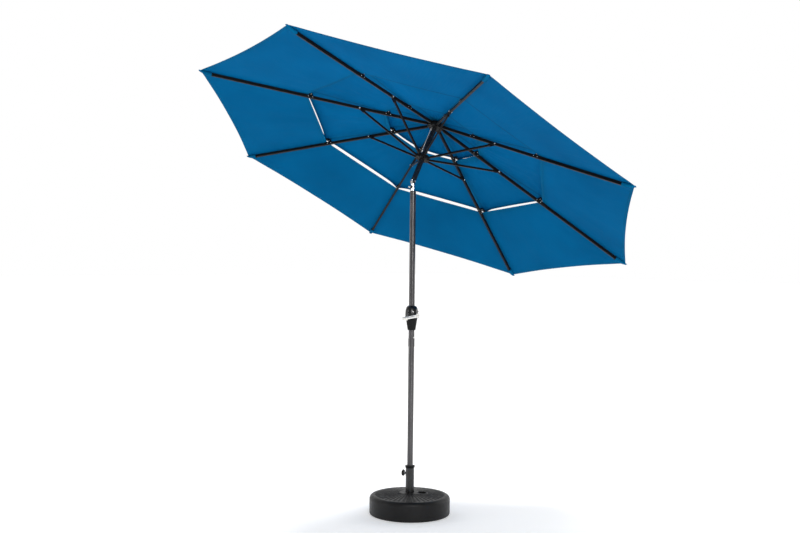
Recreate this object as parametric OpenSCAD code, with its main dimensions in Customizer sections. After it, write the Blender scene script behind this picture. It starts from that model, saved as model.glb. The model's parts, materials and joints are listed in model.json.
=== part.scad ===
/* [Base] */
// Outer diameter of the round base
base_d = 520; // [420:5:640]
// Height of the base's rim, where the top starts
base_rim_h = 125; // [110:1:160]
// Rise of the base's top from the rim to the stem
base_rise = 17; // [5:1:30]
// Wall of the blow-moulded base shell
base_wall = 3; // [2:0.5:5]
// Radius of the rounded shoulder between side and top
shoulder_r = 26; // [10:1:35]
// Number of radial grooves in the top
groove_count = 44; // [12:2:60]
// Depth of each groove
groove_depth = 2.2; // [1:0.1:2.5]
// Distance of the filler cap from the stem's axis
filler_at = 80; // [70:1:110]
// Direction of the filler cap from the stem
filler_turn = 316; // [0:1:359]
// Diameter of the filler cap's flange
filler_d = 52; // [40:1:56]
// Depth of the ballast in the base
ballast_h = 76; // [40:1:95]

/* [Stem] */
// Outer diameter of the stem tube
stem_d = 55; // [52:1:70]
// Wall of the stem tube
stem_wall = 2.5; // [1.5:0.5:4]
// Height of the stem's collar above the floor
stem_top = 314; // [260:1:400]
// Outer diameter of the collar's flared lip
collar_d = 64; // [60:1:80]
// Height of the clamp screw above the floor
clamp_z = 262; // [220:1:270]
// Diameter of the clamp knob
clamp_knob_d = 42; // [30:1:50]
// Diameter of the clamp screw
clamp_screw_d = 8; // [6:1:10]
// Direction in which the clamp knob points
clamp_turn = 111; // [0:1:359]

/* [Pole] */
// Outer diameter of the lower and middle poles
pole_d = 38; // [34:0.5:44]
// Wall of the lower and middle poles
pole_wall = 1.5; // [1:0.25:2.5]
// Height of the sleeve's top edge, where the middle pole plugs in
sleeve_top = 1134; // [900:1:1250]
// Length of the expanded sleeve on the lower pole
sleeve_len = 46; // [30:1:80]
// Height of the tilt hinge above the floor
hinge_z = 2150; // [1900:5:2400]
// Distance from the tilt hinge down to the middle pole's top
tilt_tube_show = 66; // [60:1:100]
// Outer diameter of the chrome tilt tube
tilt_tube_d = 28; // [26:0.5:30]
// Outer diameter of the upper pole
upper_d = 34; // [32:0.5:38]
// Wall of the upper pole
upper_wall = 1.6; // [1:0.1:2.5]
// Tilt of the canopy from upright
tilt = 28; // [10:1:35]
// Diameter of the tilt hinge's pin
tilt_pin_d = 8; // [6:0.5:9]

/* [Crank] */
// Height of the crank shaft above the floor
crank_z = 1283; // [1240:1:1500]
// Largest diameter of the crank housing
housing_d = 84; // [76:1:100]
// Height of the housing's dome above the shaft
dome_h = 64; // [50:1:90]
// Height of the housing's cone below the shaft
cone_h = 94; // [70:1:120]
// Diameter of the crank shaft
shaft_d = 10; // [8:0.5:12]
// Length of the crank arm between shaft and grip
arm_len = 128; // [90:1:150]
// Angle of the crank arm below level
arm_droop = 6; // [0:1:45]
// Length of the crank's grip
grip_len = 32; // [20:1:60]
// Diameter of the crank's grip
grip_d = 20; // [16:1:30]
// Core diameter of the cord spool
spool_core_d = 12; // [10:0.5:14]

/* [Frame] */
// Distance from the tilt hinge up to the ribs' pivots
hub_up = 418; // [360:1:520]
// Distance of the ribs' pivots from the pole's axis
hub_pivot_r = 40; // [36:1:50]
// Distance from the ribs' pivots down to the runner's pivots
runner_drop = 242; // [180:1:260]
// Distance of the struts' pivots from the pole's axis
runner_pivot_r = 36; // [34:1:44]
// Length of a rib from its pivot to its tip
rib_len = 1450; // [1200:5:1740]
// Width of a rib
rib_w = 12; // [10:0.5:16]
// Height of a rib
rib_h = 18; // [14:0.5:22]
// Wall of a rib or strut
rib_wall = 1; // [0.8:0.1:2]
// Slope of the open ribs below level
rib_drop = 13; // [8:0.5:20]
// Distance along the rib from its pivot to the strut's rivet
strut_at = 475; // [400:1:570]
// Width of a strut
strut_w = 10; // [8:0.5:12]
// Height of a strut
strut_h = 12; // [10:0.5:16]
// Turn of the canopy about the upper pole
canopy_turn = 12; // [0:1:44]

/* [Canopy] */
// Distance from rib tip to the fabric's corner
corner_past = 60; // [20:1:100]
// Where the lower tier starts, along the rib
lower_from = 815; // [700:1:900]
// Where the middle tier starts, along the rib
middle_from = 302; // [250:1:340]
// Overlap of each tier over the one below it, along the rib
tier_overlap = 45; // [20:1:90]
// Height of a raised tier's corner above the rib's axis
vent_lift = 47; // [40:1:70]
// Hollow of each tier's edge between two ribs
scallop = 22; // [0:1:60]
// Hollow of a raised tier's edge between two ribs
vent_hollow = 28; // [0:1:60]
// Thickness of the fabric's solid
cloth_t = 1.5; // [1:0.1:3]

/* [Hidden] */
$fn = 48;
RIBS = 8;
rib_step = 360 / RIBS;
fit_gap = 0.05;                 // radial clearance of a pin in its bore
slide_gap = 0.4;                // radial clearance of sliding tubes
rub_gap = 0.3;                  // space between faces that move past each other
pole_r = pole_d / 2;
upper_r = upper_d / 2;
stem_r = stem_d / 2;
tongue_t = 6;                   // thickness of the flat ends that sit in hub slots
slot_w = tongue_t + 2;          // width of a hub slot
wire_d = 4;                     // wire pins of the hub and the runner
tongue_r = 7;                   // rounded end of a rib's or strut's tongue
rivet_d = 5;                    // rivet that joins strut and rib
rivet_play = 2;                 // radial clearance of the open strut pivot
cord_d = 3;
cord_x = -(spool_core_d + cord_d) / 2 - rub_gap;
pulley_groove_r = 8;            // radius at the bottom of the pulley's groove
pulley_x = cord_x - pulley_groove_r - cord_d / 2;
pulley_down = 32;               // pulley's axis below the rib pivots
cord_run_x = pulley_x - pulley_groove_r - cord_d / 2;
hub_half = 14;                  // half the height of the hub's slotted disc
hub_r = hub_pivot_r + 10;
hub_boss_top = 32;
boss_chamfer = 4;
runner_r = runner_pivot_r + 10;
runner_low = 12;                // runner's depth below its pivots
runner_high = 22;               // runner's height above its pivots
tongue_half = 10;               // half width of the tilt tube's tongue
fork_gap = 0.5;                 // side clearance in the tilt hinge
fork_r = 14;                    // rounded end of the tilt fork
tongue_end_r = 12;              // rounded end of the tilt tongue
middle_top = hinge_z - tilt_tube_show;
middle_bottom = sleeve_top - sleeve_len + 4;
pole_rest_z = 30;               // the pole's foot on the lower bush
snap_z = sleeve_top + 7;
button_z = hinge_z - 38;
well_r = stem_r + slide_gap;    // the base's centre well, which holds the stem
stem_foot_z = 12;
top_edge_r = base_d / 2 - shoulder_r;
dome_z = base_rim_h + base_rise;
boss_r = stem_r + 14;           // flat ring of the base round the stem
strut_dx = hub_pivot_r + strut_at * cos(rib_drop) - runner_pivot_r;
strut_dz = runner_drop - strut_at * sin(rib_drop);
strut_len = sqrt(strut_dx * strut_dx + strut_dz * strut_dz);
strut_rise = atan2(strut_dz, strut_dx);
inner_bracket_at = middle_from - 20;
outer_bracket_at = lower_from - 16;
fork_len = 46;                  // reach of the strut's fork back from the rivet
ear_gap = 0.6;                  // side clearance between the rib and the strut's ears
ear_t = 2;                      // thickness of a strut's ear
rivet_head_t = 1.5;
finger_top = vent_lift - 8;     // top of a vent bracket's finger above the rib's axis
crown_up = 1.5;                 // height of the top tier's inner edge above the hub's boss
cap_seat_z = base_rim_h - 6;    // floor of the filler recess
clamp_pad_r = pole_r + rub_gap + 0.1;
clamp_knob_in = stem_r + 13;    // inner face of the clamp knob from the stem's axis
clamp_knob_t = 14;
housing_screw_r = 4;

black = "#1b1c1e";
gunmetal = "#5a5c61";
steel = "#c9ccce";
blue = "#0a6299";

// Places

// Everything above the tilt hinge, with the hinge at the origin and the upper pole along +Z
module on_head() {
    translate([0, 0, hinge_z]) rotate([0, tilt, 0]) children();
}

// The rib pivots' level on the upper pole
module on_hub() {
    on_head() translate([0, 0, hub_up]) rotate([0, 0, canopy_turn]) children();
}

// Rib number k (0 to 7): origin at its pivot, +X along the rib
module on_rib(k) {
    on_hub() rotate([0, 0, k * rib_step]) translate([hub_pivot_r, 0, 0]) rotate([0, rib_drop, 0]) children();
}

// The strut pivots' level on the upper pole
module on_runner() {
    on_hub() translate([0, 0, -runner_drop]) children();
}

// Strut number k (0 to 7): origin at its runner pivot, +X along the strut
module on_strut(k) {
    on_runner() rotate([0, 0, k * rib_step]) translate([runner_pivot_r, 0, 0]) rotate([0, -strut_rise, 0])
        children();
}

// Common forms

// A tube along +Z
module tube(r, wall, z0, z1) {
    translate([0, 0, z0]) difference() {
        cylinder(r = r, h = z1 - z0);
        translate([0, 0, -1]) cylinder(r = r - wall, h = z1 - z0 + 2);
    }
}

// A round bar along Y, centred
module bar_y(r, len) {
    rotate([90, 0, 0]) cylinder(r = r, h = len, center = true);
}

// A square tube along +X with its axis on X
module box_tube(x0, x1, w, h, wall) {
    translate([x0, 0, 0]) difference() {
        translate([0, -w / 2, -h / 2]) cube([x1 - x0, w, h]);
        translate([-1, -w / 2 + wall, -h / 2 + wall]) cube([x1 - x0 + 2, w - 2 * wall, h - 2 * wall]);
    }
}

// A flat end for a hub slot: round at its pivot, with a bore for the wire
module tongue(reach) {
    difference() {
        union() {
            bar_y(tongue_r, tongue_t);
            translate([0, -tongue_t / 2, -tongue_r + 1]) cube([reach, tongue_t, 2 * tongue_r - 2]);
        }
        bar_y(wire_d / 2 + fit_gap, tongue_t + 2);
    }
}

// Eight slots with wire bores, cut from a hub
module hub_cuts(pivot_r, from_r, z0, z1) {
    for (k = [0 : RIBS - 1]) {
        rotate([0, 0, k * rib_step]) {
            translate([from_r, -slot_w / 2, z0]) cube([pivot_r, slot_w, z1 - z0]);
            translate([pivot_r, 0, 0]) bar_y(wire_d / 2 + fit_gap, 2 * slot_w + 0.4);
        }
    }
}

// The wire pins of a hub
module wire_pins(pivot_r) {
    for (k = [0 : RIBS - 1]) {
        rotate([0, 0, k * rib_step]) translate([pivot_r, 0, 0]) bar_y(wire_d / 2, 2 * slot_w);
    }
}

// Base

// Half outline of the base: flat floor, round shoulder, gently rising top
module base_outline(inset) {
    side = base_d / 2 - inset;
    low = 14 - inset;
    round_r = shoulder_r - inset;
    bend_at = side - round_r;
    points = concat(
        [[0, inset], [side - low, inset]],
        [for (a = [-60 : 30 : 0]) [side - low + low * cos(a), inset + low + low * sin(a)]],
        [for (a = [0 : 15 : 75]) [bend_at + round_r * cos(a), base_rim_h - shoulder_r + round_r * sin(a)]],
        [[bend_at, base_rim_h - inset], [boss_r, dome_z - inset], [0, dome_z - inset]]
    );
    polygon(points);
}

// Where the filler recess and cap stand on the base, away from the clamp knob
module at_filler() {
    rotate([0, 0, filler_turn]) translate([filler_at, 0, 0]) children();
}

module base_shell() {
    top_slope = atan2(base_rise, top_edge_r - boss_r);
    recess_r = filler_d / 2 + 4;
    groove_w = 8;
    color(black) difference() {
        union() {
            difference() {
                rotate_extrude($fn = 96) base_outline(0);
                rotate_extrude($fn = 96) base_outline(base_wall);
            }
            tube(well_r + base_wall, base_wall, base_wall / 2, dome_z - 1);
            cylinder(r = well_r + 1, h = stem_foot_z - 0.2);
            intersection() {
                rotate_extrude($fn = 96) base_outline(1);
                at_filler() translate([0, 0, cap_seat_z - base_wall])
                    cylinder(r = recess_r + base_wall, h = 60);
            }
        }
        translate([0, 0, stem_foot_z - 0.2]) cylinder(r = well_r, h = dome_z);
        at_filler() {
            translate([0, 0, cap_seat_z]) cylinder(r = recess_r, h = 40);
            translate([0, 0, cap_seat_z - 40]) cylinder(r = filler_d / 2 - 6, h = 60);
        }
        for (k = [0 : groove_count - 1]) {
            a = (k + 0.5) * 360 / groove_count;
            from_r = abs(a - filler_turn) > 28 ? boss_r + 24 : filler_at + filler_d / 2 + 16;
            rotate([0, 0, a]) translate([top_edge_r, 0, base_rim_h]) rotate([0, top_slope, 0])
                translate([from_r - top_edge_r, -groove_w / 2, -groove_depth])
                    cube([top_edge_r - from_r - 4, groove_w, 2 * groove_depth]);
        }
    }
}

module base_ballast() {
    color("tan") tube(base_d / 2 - 16, base_d / 2 - 16 - well_r - base_wall - 2, base_wall + 1.5,
        base_wall + 1.5 + ballast_h);
}

module stem_tube() {
    color(black) difference() {
        union() {
            tube(stem_r, stem_wall, stem_foot_z, stem_top - 16);
            rotate([0, 0, clamp_turn]) translate([stem_r - stem_wall + 0.5, 0, clamp_z]) rotate([0, 90, 0])
                cylinder(r = clamp_screw_d, h = stem_wall + 4);
        }
        rotate([0, 0, clamp_turn]) translate([0, 0, clamp_z]) rotate([0, 90, 0])
            cylinder(r = clamp_screw_d / 2 + fit_gap, h = stem_d);
    }
}

module stem_collar() {
    plug_r = stem_r - stem_wall - fit_gap;
    seat = stem_top - 16 + 0.1;
    color(black) rotate_extrude() polygon([
        [pole_r + slide_gap, clamp_z + 14], [plug_r, clamp_z + 14], [plug_r, seat], [stem_r, seat],
        [collar_d / 2, stem_top - 6], [collar_d / 2, stem_top - 2], [collar_d / 2 - 3, stem_top],
        [pole_r + slide_gap, stem_top]
    ]);
}

module stem_bush() {
    plug_r = stem_r - stem_wall - fit_gap;
    color(black) difference() {
        translate([0, 0, stem_foot_z + 0.5]) cylinder(r = plug_r, h = 60);
        translate([0, 0, pole_rest_z]) cylinder(r = pole_r + slide_gap, h = 60);
    }
}

module filler_cap() {
    cap_z = cap_seat_z + 0.2;
    color(black) at_filler() {
        translate([0, 0, cap_z]) cylinder(r = filler_d / 2, h = 4);
        translate([0, 0, cap_z - 12]) cylinder(r = filler_d / 2 - 7, h = 13);
        translate([-filler_d / 2 + 8, -3, cap_z]) cube([filler_d - 16, 6, 11]);
    }
}

module clamp_screw() {
    color(steel) rotate([0, 0, clamp_turn]) translate([clamp_pad_r, 0, clamp_z]) rotate([0, 90, 0])
        cylinder(r = clamp_screw_d / 2, h = clamp_knob_in - clamp_pad_r + 1);
}

module clamp_knob() {
    grip_r = clamp_knob_d / 2;
    lobe_r = 4.5;
    color(black) rotate([0, 0, clamp_turn]) translate([clamp_knob_in, 0, clamp_z]) rotate([0, 90, 0])
        difference() {
            union() {
                cylinder(r = grip_r * 0.62, h = clamp_knob_t);
                translate([0, 0, 2]) cylinder(r = grip_r - 1, h = clamp_knob_t - 4);
                for (k = [0 : 7]) {
                    rotate([0, 0, k * 45]) translate([grip_r - lobe_r, 0, 2.6])
                        cylinder(r = lobe_r, h = clamp_knob_t - 5.2);
                }
            }
            translate([0, 0, -1]) cylinder(r = clamp_screw_d / 2 + fit_gap, h = 2.1);
        }
}

// Poles

module lower_pole() {
    sleeve_z = sleeve_top - sleeve_len;
    bore_r = pole_r + slide_gap / 2;
    color(gunmetal) union() {
        tube(pole_r, pole_wall, pole_rest_z + 0.2, sleeve_z);
        tube(bore_r + pole_wall, bore_r + pole_wall - pole_r + pole_wall, sleeve_z - 4, sleeve_z + 2);
        tube(bore_r + pole_wall, pole_wall, sleeve_z, sleeve_top);
    }
}

module middle_pole() {
    color(gunmetal) difference() {
        tube(pole_r, pole_wall, middle_bottom, middle_top);
        translate([0, -pole_r, snap_z]) bar_y(4.2, pole_d);
        translate([0, 0, crank_z]) bar_y(shaft_d / 2 + 0.5, 2 * pole_d);
    }
}

module snap_button() {
    color(steel) translate([0, -pole_r + 4, snap_z]) rotate([90, 0, 0]) union() {
        cylinder(r = 4, h = 7);
        translate([0, 0, 7]) cylinder(r1 = 4, r2 = 2.6, h = 1.4);
        translate([0, 0, -1]) cylinder(r = 5.5, h = 1.5);
    }
}

module snap_spring() {
    inner_r = pole_r - pole_wall;
    leaf_y = -pole_r + 5.1;
    color(steel) union() {
        translate([-4, leaf_y, snap_z - 6]) cube([8, 0.8, 50]);
        translate([-4, inner_r - 2, snap_z - 6]) cube([8, 0.8, 50]);
        translate([-4, leaf_y, snap_z + 43.2]) cube([8, inner_r - 1.2 - leaf_y, 0.8]);
    }
}

// The crank housing's outline, from the cone's foot to the dome's crown
function housing_r(z) =
    z < 0 ? housing_d / 2 - 5 - (housing_d / 2 - 5 - pole_r - 7) * (-z - 18) / (cone_h - 18)
    : pole_r + 2 + (housing_d / 2 - pole_r - 2) * sqrt(max(0, 1 - pow(z / dome_h, 2.6)));

module crank_dome() {
    steps = 10;
    inner_r = housing_d / 2 - 8;
    color(black) difference() {
        rotate_extrude($fn = 72) polygon(concat(
            [[pole_r + rub_gap, crank_z + dome_h], [pole_r + rub_gap, crank_z + dome_h - 6],
             [inner_r, crank_z + 15], [inner_r, crank_z - 17.5], [housing_d / 2 - 2, crank_z - 17.5],
             [housing_d / 2, crank_z - 12]],
            [for (i = [0 : steps]) [housing_r(dome_h * i / steps), crank_z + dome_h * i / steps]]
        ));
        translate([0, -housing_d / 2, crank_z]) bar_y(shaft_d / 2 + 1, housing_d);
        at_housing_screws() translate([0, 0, -0.1]) cylinder(r = housing_screw_r + fit_gap, h = 20);
    }
}

module crank_cone() {
    foot_r = pole_r + 7;
    top_r = housing_d / 2 - 5;
    wall = 4;
    color(black) rotate_extrude($fn = 72) polygon([
        [pole_r + rub_gap, crank_z - cone_h], [foot_r - 2, crank_z - cone_h], [foot_r, crank_z - cone_h + 3],
        [top_r, crank_z - 18], [top_r - wall, crank_z - 18], [foot_r - wall, crank_z - cone_h + 12],
        [pole_r + rub_gap, crank_z - cone_h + 8]
    ]);
}

// Two places on the dome's front, either side of the shaft, with +Z outwards
module at_housing_screws() {
    for (side = [-1, 1]) {
        translate([side * housing_d * 0.27, -housing_d * 0.4, crank_z + dome_h * 0.42]) rotate([90, 0, 0])
            children();
    }
}

module housing_screws() {
    color(steel) at_housing_screws() cylinder(r = housing_screw_r, h = 5);
}

module crank_shaft() {
    in_r = pole_r - pole_wall - 0.8;
    flange_r = 12;
    half = sqrt(in_r * in_r - flange_r * flange_r);
    out = housing_d / 2 + 20;
    color(steel) translate([0, 0, crank_z]) union() {
        translate([0, (-out + half + 4) / 2, 0]) bar_y(shaft_d / 2, out + half + 4);
        bar_y(spool_core_d / 2, 2 * half - 1);
        for (side = [-1, 1]) {
            translate([0, side * (half - 0.8), 0]) bar_y(flange_r, 1.6);
        }
    }
}

module crank_arm() {
    arm_t = 5;
    arm_y = -housing_d / 2 - 14;
    color(steel) translate([0, arm_y, crank_z]) rotate([0, -arm_droop, 0]) difference() {
        union() {
            bar_y(15, arm_t + 4);
            translate([-arm_len / 2, 0, 0]) cube([arm_len, arm_t, 20], center = true);
            translate([-arm_len, 0, 0]) bar_y(10, arm_t);
        }
        bar_y(shaft_d / 2 + fit_gap, 30);
        translate([-arm_len, 0, 0]) bar_y(3 + fit_gap, 30);
    }
}

module crank_grip() {
    grip_y = -housing_d / 2 - 14 - 2.5 - rub_gap;
    color("whitesmoke") translate([0, 0, crank_z]) rotate([0, -arm_droop, 0]) translate([-arm_len, grip_y, 0])
        union() {
            translate([0, -grip_len / 2, 0]) bar_y(grip_d / 2, grip_len);
            translate([0, 3, 0]) bar_y(3, 12);
        }
}

module pole_bush() {
    plug_r = pole_r - pole_wall - 0.1;
    bore_r = tilt_tube_d / 2 + 0.1;
    color(black) union() {
        tube(plug_r, plug_r - bore_r, middle_top - 60, middle_top + 0.2);
        tube(pole_r + 0.6, pole_r + 0.6 - bore_r, middle_top + 0.2, middle_top + 4);
    }
}

// Tilt joint

module tilt_tube() {
    tube_r = tilt_tube_d / 2;
    shoulder = hinge_z - fork_r - 1;
    color(steel) difference() {
        union() {
            tube(tube_r, 2, middle_top - 90, shoulder);
            translate([0, 0, shoulder - 8]) cylinder(r = tube_r - 0.5, h = 8);
            intersection() {
                union() {
                    translate([0, 0, hinge_z]) bar_y(tongue_end_r, 2 * tongue_half);
                    translate([-tongue_end_r, -tongue_half, shoulder - 4])
                        cube([2 * tongue_end_r, 2 * tongue_half, fork_r + 5]);
                }
                translate([0, 0, shoulder - 5]) cylinder(r = 17, h = 40);
            }
        }
        translate([0, 0, hinge_z]) bar_y(tilt_pin_d / 2 + fit_gap, 60);
        translate([cord_x, 0, shoulder - 20]) cylinder(r = 2.2, h = 60);
        translate([-tilt_tube_d / 2, 0, button_z]) rotate([0, 90, 0])
            cylinder(r = 3 + fit_gap, h = 10, center = true);
    }
}

module tilt_pin() {
    color(steel) translate([0, 0, hinge_z]) union() {
        bar_y(tilt_pin_d / 2, 2 * upper_r + 2);
        for (side = [-1, 1]) {
            translate([0, side * (upper_r + 2), 0]) bar_y(tilt_pin_d / 2 + 2, 2.4);
        }
    }
}

module button_seat() {
    color(black) translate([0, 0, button_z]) difference() {
        rotate([0, -90, 0]) cylinder(r = 9, h = tilt_tube_d / 2 + 6);
        cylinder(r = tilt_tube_d / 2 + 0.02, h = 60, center = true);
        rotate([0, -90, 0]) cylinder(r = 3 + fit_gap, h = 60);
    }
}

module tilt_button() {
    color(steel) translate([0, 0, button_z]) rotate([0, -90, 0]) union() {
        translate([0, 0, tilt_tube_d / 2 - 0.5]) cylinder(r = 3, h = 19);
        translate([0, 0, tilt_tube_d / 2 + 17]) cylinder(r1 = 5.5, r2 = 7.5, h = 3);
        translate([0, 0, tilt_tube_d / 2 + 20]) cylinder(r1 = 7.5, r2 = 5, h = 5);
    }
}

module upper_pole() {
    fork_in = tongue_half + fork_gap;
    color(black) on_head() difference() {
        union() {
            tube(upper_r, upper_wall, fork_r + 0.5, hub_up + hub_half - 2);
            intersection() {
                union() {
                    bar_y(fork_r, upper_d);
                    translate([-fork_r, -upper_r, 0]) cube([2 * fork_r, upper_d, fork_r + 12]);
                }
                translate([0, 0, -fork_r - 1]) cylinder(r = upper_r, h = 2 * fork_r + 12);
                union() for (side = [-1, 1]) {
                    translate([0, side * (fork_in + 10), 5]) cube([60, 20, 60], center = true);
                }
            }
            for (side = [-1, 1]) {
                translate([pulley_x - 4, side * 5 - 1, hub_up - pulley_down - 6])
                    cube([4 - upper_r + 4 - pulley_x, 2, 12]);
            }
        }
        bar_y(tilt_pin_d / 2 + fit_gap, 60);
        translate([-upper_r, 0, hub_up - pulley_down]) cube([upper_r * 1.5, 7.4, 26], center = true);
        translate([pulley_x, 0, hub_up - pulley_down]) bar_y(2.05, 60);
    }
}

// Top hub and runner

module hub() {
    color(black) on_hub() difference() {
        union() {
            translate([0, 0, -hub_half]) cylinder(r = hub_r, h = 2 * hub_half);
            cylinder(r = upper_r + 5, h = hub_boss_top - boss_chamfer);
            translate([0, 0, hub_boss_top - boss_chamfer])
                cylinder(r1 = upper_r + 5, r2 = upper_r, h = boss_chamfer);
        }
        translate([0, 0, -hub_half - 1]) cylinder(r = upper_r + fit_gap, h = 2 * hub_half - 0.9);
        cylinder(r = 4 + fit_gap, h = hub_boss_top + 1);
        hub_cuts(hub_pivot_r, hub_pivot_r - tongue_r - 1, -hub_half - 1, hub_half + 1);
    }
}

// The hub's wire pins and the pulley's pin
module hub_pins() {
    color(steel) {
        on_hub() wire_pins(hub_pivot_r);
        on_head() translate([pulley_x, 0, hub_up - pulley_down]) bar_y(2, 14);
    }
}

module pulley() {
    groove_w = 4;
    color(steel) on_head() translate([pulley_x, 0, hub_up - pulley_down]) difference() {
        union() {
            bar_y(pulley_groove_r - 0.3, groove_w);
            for (side = [-1, 1]) {
                translate([0, side * (groove_w + 1.2) / 2, 0]) bar_y(pulley_groove_r + 2.4, 1.2);
            }
        }
        bar_y(2 + fit_gap, 20);
    }
}

module finial() {
    color(black) on_hub() translate([0, 0, hub_boss_top + crown_up + cloth_t + rub_gap]) union() {
        translate([0, 0, -22]) cylinder(r = 4, h = 24);
        cylinder(r = 24, h = 4);
        translate([0, 0, 4]) cylinder(r1 = 20, r2 = 9, h = 8);
        translate([0, 0, 11]) cylinder(r = 7, h = 8);
        translate([0, 0, 29]) sphere(r = 15);
    }
}

module runner() {
    color(black) on_runner() difference() {
        union() {
            translate([0, 0, -runner_low]) cylinder(r = runner_r, h = 2 * runner_low);
            cylinder(r = upper_r + 5, h = runner_high);
        }
        translate([0, 0, -50]) cylinder(r = upper_r + slide_gap, h = 100);
        hub_cuts(runner_pivot_r, runner_pivot_r - tongue_r - 1, -runner_low - 1, runner_low + 1);
    }
}

module runner_pins() {
    color(steel) on_runner() wire_pins(runner_pivot_r);
}

// Lift cord, from the spool up to the tilt joint, over the pulley, and down to the runner

module cord_in_pole() {
    color("white") translate([cord_x, 0, crank_z]) cylinder(r = cord_d / 2, h = hinge_z - crank_z - 16);
}

module cord_in_head() {
    color("white") on_head() union() {
        translate([cord_x, 0, fork_r + 4]) cylinder(r = cord_d / 2, h = hub_up - pulley_down - fork_r - 4);
        translate([pulley_x, 0, hub_up - pulley_down]) rotate([90, 0, 0]) rotate_extrude(angle = 180)
            translate([pulley_groove_r + cord_d / 2, 0]) circle(r = cord_d / 2);
    }
}

module cord_run() {
    color("white") on_head() translate([cord_run_x, 0, hub_up - runner_drop + runner_low + 1])
        cylinder(r = cord_d / 2, h = runner_drop - runner_low - 1 - pulley_down);
}

// Ribs, struts and what is riveted to them

module rib(k) {
    tube_from = hub_r - hub_pivot_r + 12;
    color(black) on_rib(k) difference() {
        union() {
            tongue(tube_from + 20);
            box_tube(tube_from, rib_len - 4, rib_w, rib_h, rib_wall);
        }
        translate([strut_at, 0, 0]) bar_y(rivet_d / 2 + fit_gap, rib_w + 2);
    }
}

module strut(k) {
    ear_in = rib_w / 2 + ear_gap;
    ear_mid = ear_in + ear_t / 2;
    ear_half = strut_h / 2;
    color(black) on_strut(k) difference() {
        union() {
            tongue(34);
            box_tube(18, strut_len - fork_len + 4, strut_w, strut_h, rib_wall);
            translate([strut_len - fork_len, -ear_in - ear_t, -ear_half])
                cube([8, 2 * (ear_in + ear_t), 2 * ear_half]);
            for (side = [-1, 1]) {
                translate([strut_len, side * ear_mid, 0]) bar_y(8, ear_t);
                translate([strut_len - fork_len, side * ear_mid - ear_t / 2, -ear_half])
                    cube([fork_len, ear_t, 2 * ear_half]);
            }
        }
        translate([strut_len, 0, 0]) bar_y(rivet_d / 2 + rivet_play, 40);
    }
}

// A vent bracket: saddle on the rib, post, and a finger that holds the tier above
module vent_bracket(at) {
    half_w = rib_w / 2 + 1.6;
    reach = tier_overlap + 14;
    translate([at, 0, 0]) difference() {
        union() {
            translate([-12, -half_w, -4]) cube([24, 2 * half_w, rib_h / 2 + 6.5]);
            translate([-5, -4, 0]) cube([10, 8, finger_top]);
            translate([-5, -5, finger_top - 4]) cube([reach, 10, 4]);
        }
        translate([-13, -rib_w / 2 - fit_gap, -5]) cube([26, rib_w + 2 * fit_gap, rib_h / 2 + 5 + fit_gap]);
    }
}

module fittings(k) {
    head = rib_w / 2 + ear_gap + ear_t + rub_gap + rivet_head_t / 2;
    color(black) on_rib(k) union() {
        translate([strut_at, 0, 0]) bar_y(rivet_d / 2, 2 * head);
        for (side = [-1, 1]) {
            translate([strut_at, side * head, 0]) bar_y(rivet_d / 2 + rivet_play + 1.2, rivet_head_t);
        }
        vent_bracket(inner_bracket_at);
        vent_bracket(outer_bracket_at);
        translate([rib_len - 3.9, -rib_w / 2, -rib_h / 2]) cube([4, rib_w, rib_h]);
        translate([rib_len - 14, -rib_w / 2 + rib_wall + 0.1, -rib_h / 2 + rib_wall + 0.1])
            cube([11, rib_w - 2 * rib_wall - 0.2, rib_h - 2 * rib_wall - 0.2]);
    }
}

// Canopy

// Distance from the axis and height from the hub, of a point s along a rib and off above its axis
function rib_rz(s, off) = [
    hub_pivot_r + s * cos(rib_drop) + off * sin(rib_drop),
    off * cos(rib_drop) - s * sin(rib_drop)
];

// Sixteen points round an edge, at the ribs and half way between them, where the edge is hollow
function edge_ring(rz, hollow, up) = [
    for (k = [0 : 2 * RIBS - 1])
        let (a = k * rib_step / 2)
        let (at_rib = k % 2 == 0)
        let (r = at_rib ? rz[0] : rz[0] * cos(rib_step / 2) - hollow)
        let (lift = at_rib ? 0 : hollow * tan(rib_drop))
        [r * cos(a), r * sin(a), rz[1] + lift + up]
];

// One tier: a thin closed shell from an inner edge to an outer edge
module tier(inner, outer, hollow_in, hollow_out) {
    n = 2 * RIBS;
    points = concat(
        edge_ring(inner, hollow_in, 0), edge_ring(outer, hollow_out, 0),
        edge_ring(inner, hollow_in, cloth_t), edge_ring(outer, hollow_out, cloth_t)
    );
    faces = [for (k = [0 : n - 1])
        let (m = (k + 1) % n)
        each [
            [2 * n + k, 2 * n + m, 3 * n + m], [2 * n + k, 3 * n + m, 3 * n + k],
            [k, n + m, m], [k, n + k, n + m],
            [3 * n + k, 3 * n + m, n + m], [3 * n + k, n + m, n + k],
            [2 * n + m, 2 * n + k, k], [2 * n + m, k, m]
        ]
    ];
    color(blue) on_hub() polyhedron(points = points, faces = faces);
}

cloth_off = rib_h / 2 + 3;      // height of the fabric's underside above a rib's axis

module canopy_lower() {
    tier(rib_rz(lower_from, cloth_off), rib_rz(rib_len + corner_past, cloth_off), 0, scallop);
}

module canopy_middle() {
    tier(rib_rz(middle_from, cloth_off), rib_rz(lower_from + tier_overlap, vent_lift), 0, vent_hollow);
}

module canopy_top() {
    corner = rib_rz(middle_from + tier_overlap - 5, vent_lift);
    tier([16, hub_boss_top + crown_up], corner, 0, vent_hollow / 2);
}

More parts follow.
